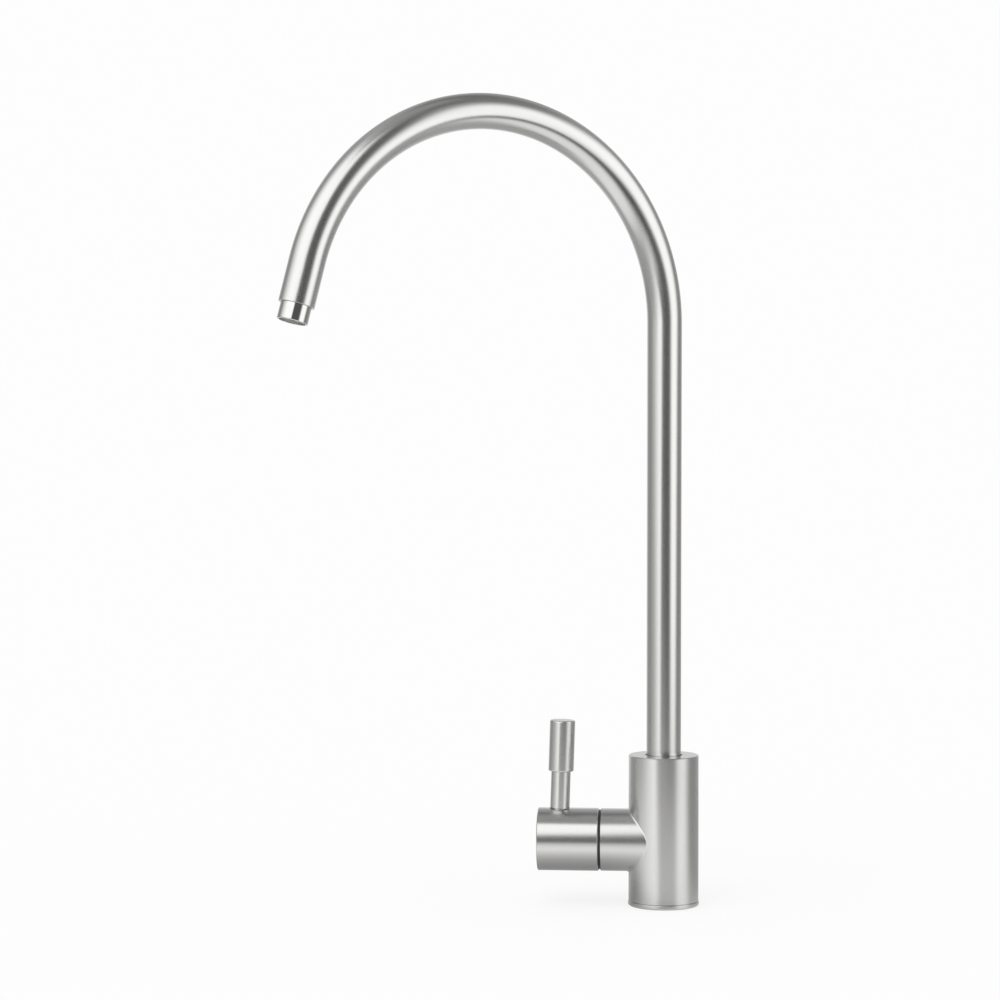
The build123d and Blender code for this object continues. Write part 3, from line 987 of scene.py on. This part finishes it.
@dataclass
class Handle(SubAssembly):
    """The hub beyond the branch and the pin lever that stands up from it."""

    looks = {
        Finish.SATIN_LEVER: ("lever_stem", "lever_grip"),
        Finish.SATIN_HUB: ("handle_hub",),
        Finish.DARK_SCREW: ("hub_grub_screw",),
        Finish.BLACK_PLASTIC: ("hub_glide_ring",),
    }

    neck_radius: float = 3.95 * MM
    seat_depth: float = 1.0 * MM  # How deep the stem's shoulder sits in the hub.
    screw_radius: float = 2.5 * MM
    screw_length: float = 5.4 * MM
    rise: float = 15.1 * MM  # Where the grip starts above the hub.
    inside: float = 13.5 * MM  # Length of the stem in the grip.
    grip_radius: float = 5.15 * MM
    grip_length: float = 20.8 * MM
    grip_round: float = 0.6 * MM
    bore_radius: float = 4.0 * MM
    bore_depth: float = 15.0 * MM
    small_round: float = 0.3 * MM
    relief: float = 0.3 * MM  # Depth of the turned relief where the stem enters the hub.
    relief_span: Point = (-0.25 * MM, 0.1 * MM)  # Heights between which it runs out.

    def stem(self) -> Sequence[Corner]:
        """Draw the lever's stem, with the end that screws into the hub.

        Returns:
            Its outline.
        """
        foot = -self.seat_depth - self.screw_length
        top = self.rise + self.inside
        waist = self.neck_radius - self.relief
        return (
            Corner(0.0, foot),
            Corner(self.screw_radius, foot, self.small_round),
            Corner(self.screw_radius, -self.seat_depth),
            Corner(waist, -self.seat_depth),
            Corner(waist, self.relief_span[0]),
            Corner(self.neck_radius, self.relief_span[1]),
            Corner(self.neck_radius, top, self.small_round),
            Corner(0.0, top),
        )

    def grip(self) -> Sequence[Corner]:
        """Draw the grip, closed on top.

        Returns:
            Its outline.
        """
        top = self.rise + self.grip_length
        bore_top = self.rise + self.bore_depth
        return (
            Corner(self.bore_radius, self.rise),
            Corner(self.grip_radius, self.rise, self.grip_round),
            Corner(self.grip_radius, top, self.grip_round),
            Corner(0.0, top),
            Corner(0.0, bore_top),
            Corner(self.bore_radius, bore_top),
        )

    def make(self, dresser: Dresser) -> dict[str, Piece]:
        """Turn the stem and the grip, along the leaning lever."""
        frame = Matrix.Translation(LEVER_CROWN) @ Matrix.Rotation(LEVER_LEAN, 4, "Y")
        return turned(frame, lever_stem=self.stem(), lever_grip=self.grip())


@dataclass
class Gooseneck(SubAssembly):
    """The spout: a straight rise, one large bend and a short straight tip, on a turned foot."""

    PLACE: ClassVar[str] = "laid_out_place"
    looks = {
        Finish.SATIN_TUBE: ("spout_tube",),
        Finish.TURNED_BRASS: ("spout_foot",),
        Finish.SEAL_RUBBER: ("spout_oring_lower", "spout_oring_upper"),
    }

    outer: float = 7.0 * MM
    wall: float = 1.0 * MM
    foot: float = 53.5 * MM  # Height of the tube's lower end.
    bend_start: float = 236.0 * MM
    bend_radius: float = 81.6 * MM
    bend_angle: float = math.radians(164.5)
    tip: float = 17.3 * MM
    edge_round: float = 0.18 * MM
    edge_faces: int = 3  # Faces across the rounding of the tube's ends.
    edge_turn: float = math.radians(60)  # Smallest turn that counts as an edge.
    steps: int = 200
    sides: int = 96

    def centre_line(self, graph: Graph, along: Value) -> Value:
        """Position on the tube's centre line at a length along it.

        Args:
            graph: The tube's graph.
            along: Length from the tube's foot.

        Returns:
            The position, in the plane of X and Z.
        """
        given = graph.given
        bend = given["Bend Radius"]
        past_rise = along - given["Rise"]
        angle = (past_rise / bend).between(0.0, given["Bend Angle"])
        past_bend = graph.maths("MAXIMUM", past_rise - bend * given["Bend Angle"], 0.0)
        sine = graph.maths("SINE", angle)
        cosine = graph.maths("COSINE", angle)
        start = given["Foot"] + graph.maths("MINIMUM", along, given["Rise"])
        out = past_bend * sine + bend * graph.maths("SUBTRACT", 1.0, cosine)
        return graph.joined(out, 0.0, past_bend * cosine + (bend * sine + start))

    def kept(self, graph: Graph, geometry: Value, kind: str, name: str, value: Value) -> Value:
        """Keep a value on each point under a name, and return the geometry with it."""
        inputs = {"Geometry": geometry, "Name": name, "Value": value}
        return graph.value("GeometryNodeStoreNamedAttribute", inputs, data_type=kind)

    def recalled(self, graph: Graph, kind: str, name: str) -> Value:
        """Value that was kept under a name."""
        return graph.value("GeometryNodeInputNamedAttribute", {"Name": name}, data_type=kind)

    def sweep(self, graph: Graph) -> Value:
        """Sweep the tube along its centre line and keep each point's laid-out place.

        Args:
            graph: The tube's graph.

        Returns:
            The tube's outer skin.
        """
        given = graph.given
        bend = given["Bend Radius"] * given["Bend Angle"]
        length = given["Rise"] + given["Tip"] + bend
        along = graph.value("GeometryNodeSplineParameter", output="Factor") * length
        line = graph.shape("CurvePrimitiveLine")
        spaced = graph.shape("ResampleCurve", Curve=line, Count=given["Steps"])
        measured = self.kept(graph, spaced, "FLOAT", "along", along)
        centre = self.centre_line(graph, along)
        bent = graph.shape("SetPosition", Geometry=measured, Position=centre)
        circle = graph.circle(given["Sides"], given["Tube Radius"])
        place = graph.shape("InputPosition")
        section = self.kept(graph, circle, "FLOAT_VECTOR", "across", place)
        skin = graph.shape("CurveToMesh", Curve=bent, Profile_Curve=section)
        x, y, _ = graph.split(self.recalled(graph, "FLOAT_VECTOR", "across"))
        laid_out = graph.joined(x, y, self.recalled(graph, "FLOAT", "along"))
        marked = self.kept(graph, skin, "FLOAT_VECTOR", self.PLACE, laid_out)
        turn = graph.joined(0.0, 0.0, given["Turn"])
        turned = graph.shape("Transform", Geometry=marked, Rotation=turn)
        return graph.shape("SetShadeSmooth", Geometry=turned)

    def tube(self, material: Material) -> Piece:
        """Sweep the tube and give it its wall and its rounded ends.

        Args:
            material: Its material.

        Returns:
            The tube.
        """
        values = {
            "Foot": self.foot,
            "Rise": self.bend_start - self.foot,
            "Bend Radius": self.bend_radius,
            "Bend Angle": self.bend_angle,
            "Tip": self.tip,
            "Tube Radius": self.outer,
            "Turn": SPOUT_TURN,
            "Steps": self.steps,
            "Sides": self.sides,
            "Finish": material,
        }
        wall = {"thickness": self.wall, "offset": -1.0, "use_even_offset": True}
        edges = {
            "limit_method": "ANGLE",
            "angle_limit": self.edge_turn,
            "width": self.edge_round,
            "segments": self.edge_faces,
            "harden_normals": True,
        }
        return grown("gooseneck_tube", values, self.sweep, [("SOLIDIFY", wall), ("BEVEL", edges)])

    def outlet_frame(self) -> Matrix:
        """Work out the place of the tube's open end.

        Returns:
            Its frame, with its own Z the way the water leaves.
        """
        sine = math.sin(self.bend_angle)
        cosine = math.cos(self.bend_angle)
        out = self.bend_radius * (1 - cosine) + self.tip * sine
        up = self.bend_start + self.bend_radius * sine + self.tip * cosine
        leaving = Vector((sine, 0.0, cosine))
        aside = Vector((0.0, 1.0, 0.0))
        axes = Matrix((aside, leaving.cross(aside), leaving)).transposed().to_4x4()
        spin = Matrix.Rotation(SPOUT_TURN, 4, "Z")
        return spin @ Matrix.Translation((out, 0.0, up)) @ axes

    def make(self, dresser: Dresser) -> dict[str, Piece]:
        """Make the tube."""
        return {"spout_tube": self.tube(dresser.material(Finish.SATIN_TUBE))}


@dataclass
class Outlet(SubAssembly):
    """The polished sleeve in the tube's end and the flow straightener that it holds."""

    looks = {
        Finish.POLISHED_STEEL: ("outlet_sleeve", "outlet_screen"),
        Finish.WHITE_PLASTIC: ("flow_straightener",),
        Finish.SEAL_RUBBER: ("straightener_washer",),
    }

    frame: Matrix  # Place of the tube's open end.
    radius: float = 6.0 * MM
    length: float = 6.6 * MM  # How far the sleeve stands out of the tube.
    tail_radius: float = 5.98 * MM
    tail: float = 9.0 * MM  # Length of the sleeve in the tube.
    pocket: float = 5.13 * MM  # Radius of the pocket for the straightener.
    pocket_floor: float = 0.4 * MM
    throat: float = 4.33 * MM  # Radius of the bore behind the pocket.
    lip_round: float = 0.35 * MM
    edge_round: float = 0.12 * MM
    insert_radius: float = 5.08 * MM
    insert_start: float = 1.8 * MM
    insert_length: float = 3.0 * MM
    insert_sides: int = 96
    pitch: float = 1.35 * MM
    channel: float = 1.15 * MM  # Width of a channel across its flats.
    channel_turn: float = math.radians(30)
    rings: int = 3  # Rings of channels round the middle one.
    weld: float = 0.001 * MM  # Points closer than this become one.

    def sleeve(self) -> Sequence[Corner]:
        """Draw the sleeve.

        Returns:
            Its outline.
        """
        return (
            Corner(self.throat, -self.tail),
            Corner(self.tail_radius, -self.tail, self.edge_round),
            Corner(self.tail_radius, 0.0),
            Corner(self.radius, 0.0),
            Corner(self.radius, self.length, self.lip_round),
            Corner(self.pocket, self.length, self.edge_round),
            Corner(self.pocket, self.pocket_floor),
            Corner(self.throat, self.pocket_floor),
        )

    def lattice(self, graph: Graph) -> Value:
        """Set out the middles of the channels in six-sided rings.

        Args:
            graph: The straightener's graph.

        Returns:
            The points.
        """
        rings = graph.given["Rings"]
        pitch = graph.given["Pitch"]
        side = rings * 2.0 + 1.0
        index = graph.shape("InputIndex")
        row = graph.maths("FLOOR", index / side)
        down = row - rings
        across = index - row * side - rings
        row_step = pitch * math.sin(math.pi / 3)
        place = graph.joined((down * 0.5 + across) * pitch, down * row_step, 0.0)
        points = graph.shape("Points", Count=side * side, Position=place)
        ring_number = graph.maths("ABSOLUTE", down + across)
        outside = graph.maths("GREATER_THAN", ring_number, rings + 0.5)
        return graph.shape("DeleteGeometry", Geometry=points, Selection=outside)

    def honeycomb(self, graph: Graph) -> Value:
        """Build a disc with a honeycomb of channels.

        Args:
            graph: The straightener's graph.

        Returns:
            The disc.
        """
        given = graph.given
        hexagon = graph.circle(6, given["Channel"] / math.sqrt(3))
        channels = graph.shape(
            "InstanceOnPoints",
            Points=self.lattice(graph),
            Instance=hexagon,
            Rotation=(0.0, 0.0, self.channel_turn),
        )
        rim = graph.circle(self.insert_sides, given["Radius"])
        outline = graph.together(rim, graph.shape("RealizeInstances", Geometry=channels))
        face = graph.shape("FillCurve", Curve=outline)
        lift = graph.joined(0.0, 0.0, given["Length"])
        raised = graph.shape(
            "ExtrudeMesh", Mesh=face, Offset=lift, Offset_Scale=1.0, Individual=False
        )
        both = graph.together(raised, graph.shape("FlipFaces", Mesh=face))
        closed = graph.shape("MergeByDistance", Geometry=both, Distance=self.weld)
        start = graph.joined(0.0, 0.0, given["Start"])
        return graph.shape("Transform", Geometry=closed, Translation=start)

    def straightener(self, material: Material) -> Piece:
        """Grow the honeycomb and set it in the sleeve.

        Args:
            material: Its material.

        Returns:
            The straightener.
        """
        values = {
            "Radius": self.insert_radius,
            "Start": self.insert_start,
            "Length": self.insert_length,
            "Pitch": self.pitch,
            "Channel": self.channel,
            "Rings": self.rings,
            "Finish": material,
        }
        insert = grown("honeycomb_straightener", values, self.honeycomb)
        insert.data.transform(self.frame)
        return insert

    def make(self, dresser: Dresser) -> dict[str, Piece]:
        """Make the sleeve and the straightener.

        Args:
            dresser: What gives out the finishes.

        Returns:
            Both by their nodes.
        """
        pieces = turned(self.frame, outlet_sleeve=self.sleeve())
        insert = self.straightener(dresser.material(Finish.WHITE_PLASTIC))
        return pieces | {"flow_straightener": insert}


def eased(value: float, edge: float, width: float) -> float:
    """Rise smoothly from 0 to 1.

    Args:
        value: Where to look.
        edge: Where the rise is half done.
        width: How wide the rise is.

    Returns:
        The height of the rise there.
    """
    if width == 0:
        return float(value >= edge)
    share = min(max((value - edge) / width + 0.5, 0.0), 1.0)
    return share * share * (3 - 2 * share)


def spaced(start: float, end: float, step: float) -> list[float]:
    """Values from a start to an end, about a step apart."""
    count = max(round((end - start) / step), 2)
    return [start + (end - start) * i / count for i in range(count + 1)]


@dataclass(frozen=True)
class Card:
    """A light or dark card round the tap, with soft edges, that only the steel reflects.

    Angles are in degrees, seen from the tap's middle. A turn is counted from the camera to
    the right, and a rise from the horizon up. A card that turns past 360 goes all round,
    and one that rises past 90 closes over the top.
    """

    name: str
    turn: Point
    rise: Point
    glow: float  # How bright it is, where 1 is white.
    # Width of its left, right, lower and upper edge.
    fade: tuple[float, float, float, float] = (0.0, 0.0, 0.0, 0.0)
    distance: float = 3.0
    lean: Point = (0.0, 0.0)  # How far each side moves right for a degree of rise.
    lean_over: Point = (-20.0, 60.0)  # Between which rises the sides lean.

    def sides(self, rise: float) -> Point:
        """Where its left and right side are at a rise."""
        leaning = min(max(rise, self.lean_over[0]), self.lean_over[1])
        return self.turn[0] + self.lean[0] * leaning, self.turn[1] + self.lean[1] * leaning

    def cover(self, turn: float, rise: float) -> float:
        """How much of what lies behind it the card covers.

        Args:
            turn: Turn of the direction.
            rise: Its rise.

        Returns:
            The share from 0 to 1.
        """
        start, end = self.sides(rise)
        left = eased(turn, start, self.fade[0])
        right = 1 - eased(turn, end, self.fade[1])
        low = eased(rise, self.rise[0], self.fade[2])
        high = 1 - eased(rise, self.rise[1], self.fade[3])
        return left * right * low * high

    def grid(self, step: float) -> tuple[list[float], list[float]]:
        """Set out its points.

        Args:
            step: About how far apart they are.

        Returns:
            Their turns and their rises.
        """
        starts, ends = zip(*(self.sides(rise) for rise in self.lean_over))
        left = min(starts) - self.fade[0] / 2
        right = max(ends) + self.fade[1] / 2
        if right - left > 360:
            left, right = -180.0, 180.0
        low = max(self.rise[0] - self.fade[2] / 2, -90.0)
        high = min(self.rise[1] + self.fade[3] / 2, 90.0)
        return spaced(left, right, step), spaced(low, high, step)


def bare_material(name: str) -> tuple[Material, Graph]:
    """Start a material with no nodes.

    Args:
        name: Its name.

    Returns:
        The material and its graph.
    """
    material = bpy.data.materials.new(name)
    material.use_nodes = True
    material.node_tree.nodes.clear()
    return material, Graph(material.node_tree)


def plain_mesh(name: str, points: Sequence[Vector], faces: Sequence[list[int]]) -> Piece:
    """Put a mesh of points and faces into the scene.

    Args:
        name: Its name.
        points: Its points.
        faces: Numbers of each face's points.

    Returns:
        The object.
    """
    mesh = bpy.data.meshes.new(name)
    mesh.from_pydata(points, [], faces)
    return place_object(name, mesh)


@dataclass
class Studio:
    """Camera, lamps, floor and the cards that the steel reflects.

    The camera's own directions are X to the right of the picture and Y into it. A turn is
    in degrees from the camera to the right, and a rise from the horizon up.
    """

    distance: float = 1.173  # From the body's axis to the camera.
    aside: float = -0.0665  # How far the camera stands to the right of that axis.
    eye_height: float = 0.2076
    look_down: float = math.radians(2.09)
    round_to: float = math.radians(4.69)  # How far it stands round from straight in front.
    focal_length: float = 104.36
    sensor: float = 36.0
    view_end: float = 50.0
    white: float = 0.985  # Level of the white surroundings.
    fill: float = 0.7  # Light from all round on paper and plastic.
    paper: float = 0.8
    shadow: float = 0.3  # How much of the tap's shadow the camera sees.
    table_bright: float = 1.13  # How bright the steel sees the paper on its bright side.
    table_dull: float = 0.5  # The same on its other side.
    table_way: float = -15.0  # Turn of the bright side.
    table_blend: float = 0.06  # How far the two sides run into each other.
    hub_shade: float = 0.42  # Share of that brightness left under the handle's hub.
    shade_reach: Point = (0.0, 0.06)  # Distances from the hub's axis where the shade lifts.
    shade_span: Point = (-0.064, -0.03)  # Where the hub lies along X.
    table_edge: Point = (0.24, 0.42)  # Where the paper fades out of the reflections.
    table_gloss: float = 0.08  # Roughness of the paper's faint gloss.
    table_ior: float = 1.5
    floor_radius: float = 6.0
    floor_sides: int = 96
    middle: float = 0.16  # Height of the tap's middle.
    card_step: float = 2.5
    sun_turn: float = -35.0
    sun_rise: float = 55.0
    sun_width: float = 45.0
    sun_strength: float = 0.6
    cards: tuple[Card, ...] = (
        Card("room", (-200, 200), (-120, 120), 0.46, distance=4.0),
        Card("backdrop", (152, 216), (-28, 25), 0.83, (16, 16, 12, 12), 3.8),
        Card("dark_ceiling", (-34, 199), (55, 120), 0.16, (6, 47, 26, 0), 3.6),
        Card("dim_ceiling", (-200, 200), (73, 120), 0.37, (0, 0, 6, 0), 3.5),
        Card("dim_left", (-133, -102), (-10, 53), 0.33, (38, 23, 16, 32), 3.4),
        Card("dim_right", (73, 124), (-10, 71), 0.24, (4, 58, 4, 6), 3.3),
        Card("left_softbox", (-59, 8.4), (-26, 69), 1.51, (70, 4, 26, 6), 3.2, (-1.07, 0), (-15, 28)),
        Card("top_flag", (-32, 40), (63, 78), 0.3, (12, 10, 4, 10), 3.0),
        Card("low_flag", (-2, 68), (-60, -13.5), 0.05, (56, 17, 4, 4), 2.6),
        Card("front_flag", (-21.5, 56), (-15, 59.5), 0.12, (9, 4, 16, 5), 1.8, (0.65, -0.3)),
        Card("right_softbox", (39.6, 86), (-16, 45.5), 1.51, (21, 29, 6, 27), 0.68, (0.02, 0.56)),
    )

    def to_frame(self) -> Matrix:
        """Turn from the camera's own directions to the model's."""
        return Matrix.Rotation(self.round_to, 4, "Z")

    def toward(self, turn: float, rise: float) -> Vector:
        """Find a direction from the tap.

        Args:
            turn: Its turn.
            rise: Its rise.

        Returns:
            The direction.
        """
        around = math.radians(turn)
        up = math.radians(rise)
        flat = math.cos(up)
        aimed = Vector((flat * math.sin(around), -flat * math.cos(around), math.sin(up)))
        return self.to_frame() @ aimed

    def camera(self) -> None:
        """Set the camera where the photograph was taken."""
        data = bpy.data.cameras.new("camera")
        data.lens = self.focal_length
        data.sensor_width = self.sensor
        data.clip_end = self.view_end
        camera = place_object("camera", data)
        place = Matrix.Translation((self.aside, -self.distance, self.eye_height))
        tilt = Matrix.Rotation(math.pi / 2 - self.look_down, 4, "X")
        camera.matrix_world = self.to_frame() @ place @ tilt
        bpy.context.scene.camera = camera

    def world(self) -> None:
        """White surroundings for the camera and the steel, and a plain fill for the rest."""
        world = bpy.data.worlds.new("studio")
        bpy.context.scene.world = world
        world.use_nodes = True
        graph = Graph(world.node_tree)
        background = next(node for node in graph.tree.nodes if node.type == "BACKGROUND")
        background.inputs["Color"].default_value = (1.0, 1.0, 1.0, 1.0)
        rays = graph.outputs("ShaderNodeLightPath")
        seen = graph.maths("MAXIMUM", rays["Is Camera Ray"], rays["Is Glossy Ray"])
        seen = graph.maths("MAXIMUM", seen, rays["Is Transmission Ray"])
        strength = graph.mixed("FLOAT", seen, self.fill, self.white)
        graph.put(background.inputs["Strength"], strength)

    def fading(self, graph: Graph, value: Value, between: Point, levels: Point) -> Value:
        """Run smoothly from one level to another.

        Args:
            graph: The floor's graph.
            value: What the level follows.
            between: Where it starts and ends.
            levels: The levels there.

        Returns:
            The level.
        """
        ends = zip(("From Min", "From Max", "To Min", "To Max"), (*between, *levels))
        inputs = {"Value": value, **dict(ends)}
        return graph.value("ShaderNodeMapRange", inputs, interpolation_type="SMOOTHSTEP")

    def seen_by_steel(self, graph: Graph, clear: Value) -> Value:
        """Add what the steel sees of the paper: shade under the hub and a faint gloss.

        Args:
            graph: The floor's graph.
            clear: What it sees beyond the paper.

        Returns:
            The shader.
        """
        place = graph.object_place()
        inputs = {0: place, 1: self.toward(self.table_way, 0.0)}
        across = graph.value("ShaderNodeVectorMath", inputs, "Value", operation="DOT_PRODUCT")
        blend = (-self.table_blend, self.table_blend)
        side = self.fading(graph, across, blend, (self.table_dull, self.table_bright))
        x, y, _ = graph.split(place)
        beside = graph.joined(x - x.between(*self.shade_span), y, 0.0)
        shade = self.fading(graph, graph.reach(beside), self.shade_reach, (self.hub_shade, 1.0))
        pale = graph.value("ShaderNodeEmission", {"Strength": side * shade})
        gloss = graph.value("ShaderNodeBsdfGlossy", {"Roughness": self.table_gloss})
        grazing = graph.value("ShaderNodeFresnel", {"IOR": self.table_ior})
        paper = graph.either(grazing, pale, gloss)
        gone = self.fading(graph, graph.reach(place), self.table_edge, (0.0, 1.0))
        return graph.either(gone, paper, clear)

    def paper_look(self, graph: Graph, share: float, glow: float) -> Value:
        """Add paper that shows a share of its light and shadow, with a glow of its own.

        Args:
            graph: The floor's graph.
            share: The share.
            glow: Strength of the glow.

        Returns:
            The shader.
        """
        colour = (self.paper * share,) * 3 + (1.0,)
        lit = graph.value("ShaderNodeBsdfDiffuse", {"Color": colour})
        own = graph.value("ShaderNodeEmission", {"Strength": glow})
        return graph.value("ShaderNodeAddShader", {0: lit, 1: own})

    def floor(self) -> None:
        """Pale floor that keeps the tap's shadow and fades into the white surroundings."""
        angles = [2 * math.pi * i / self.floor_sides for i in range(self.floor_sides)]
        rim = [Vector((math.cos(a), math.sin(a), 0)) * self.floor_radius for a in angles]
        floor = plain_mesh("floor", rim, [list(range(self.floor_sides))])
        material, graph = bare_material("floor_paper")
        sun = self.sun_strength * math.sin(math.radians(self.sun_rise)) / math.pi
        open_level = self.paper * (self.fill + sun)
        plain = self.paper_look(graph, 1.0, 0.0)
        to_camera = self.paper_look(graph, self.shadow, self.white - self.shadow * open_level)
        clear = graph.value("ShaderNodeBsdfTransparent")
        rays = graph.outputs("ShaderNodeLightPath")
        look = graph.either(rays["Is Glossy Ray"], plain, self.seen_by_steel(graph, clear))
        look = graph.either(rays["Is Camera Ray"], look, to_camera)
        under = graph.value("ShaderNodeNewGeometry", output="Backfacing")
        surface = graph.either(under, look, clear)
        graph.node("ShaderNodeOutputMaterial", {"Surface": surface})
        floor.data.materials.append(material)

    def card(self, card: Card) -> None:
        """Set up one card.

        Args:
            card: Its place and brightness.
        """
        turns, rises = card.grid(self.card_step)
        centre = Vector((0.0, 0.0, self.middle))
        points = [centre + self.toward(t, r) * card.distance for r in rises for t in turns]
        cover = [card.cover(t, r) for r in rises for t in turns]
        width = len(turns)
        starts = [row * width + i for row in range(len(rises) - 1) for i in range(width - 1)]
        faces = [[start, start + 1, start + width + 1, start + width] for start in starts]
        panel = plain_mesh(card.name, points, faces)
        panel.data.attributes.new("cover", "FLOAT", "POINT").data.foreach_set("value", cover)
        material, graph = bare_material(card.name)
        material.cycles.emission_sampling = "NONE"
        covered = graph.value("ShaderNodeAttribute", output="Fac", attribute_name="cover")
        clear = graph.value("ShaderNodeBsdfTransparent")
        lit = graph.value("ShaderNodeEmission", {"Strength": card.glow})
        surface = graph.either(covered, clear, lit)
        graph.node("ShaderNodeOutputMaterial", {"Surface": surface})
        panel.data.materials.append(material)
        for ray in ("camera", "diffuse", "shadow", "transmission"):
            setattr(panel, f"visible_{ray}", False)

    def sun(self) -> None:
        """Add the soft light on paper, rubber and plastic."""
        data = bpy.data.lights.new("soft_sun", "SUN")
        data.angle = math.radians(self.sun_width)
        data.energy = self.sun_strength
        sun = place_object("soft_sun", data)
        aimed = self.toward(self.sun_turn, self.sun_rise)
        sun.matrix_world = aimed.to_track_quat("Z", "Y").to_matrix().to_4x4()
        sun.visible_glossy = False

    def build(self) -> None:
        """Set up the whole studio."""
        bpy.context.scene.view_settings.view_transform = "Standard"
        self.camera()
        self.world()
        self.floor()
        self.sun()
        for card in self.cards:
            self.card(card)


def main() -> None:
    """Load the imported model, dress it and set up the studio."""
    logging.basicConfig(level=logging.INFO, format="%(name)s: %(message)s")
    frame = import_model()
    Studio().build()
    dresser = Dresser(frame)
    gooseneck = Gooseneck()
    outlet = Outlet(gooseneck.outlet_frame())
    assemblies: list[SubAssembly] = [Foot(), Body(), Valve(), Handle(), gooseneck, outlet]
    for assembly in assemblies:
        assembly.build(dresser)


if __name__ == "__main__":
    main()
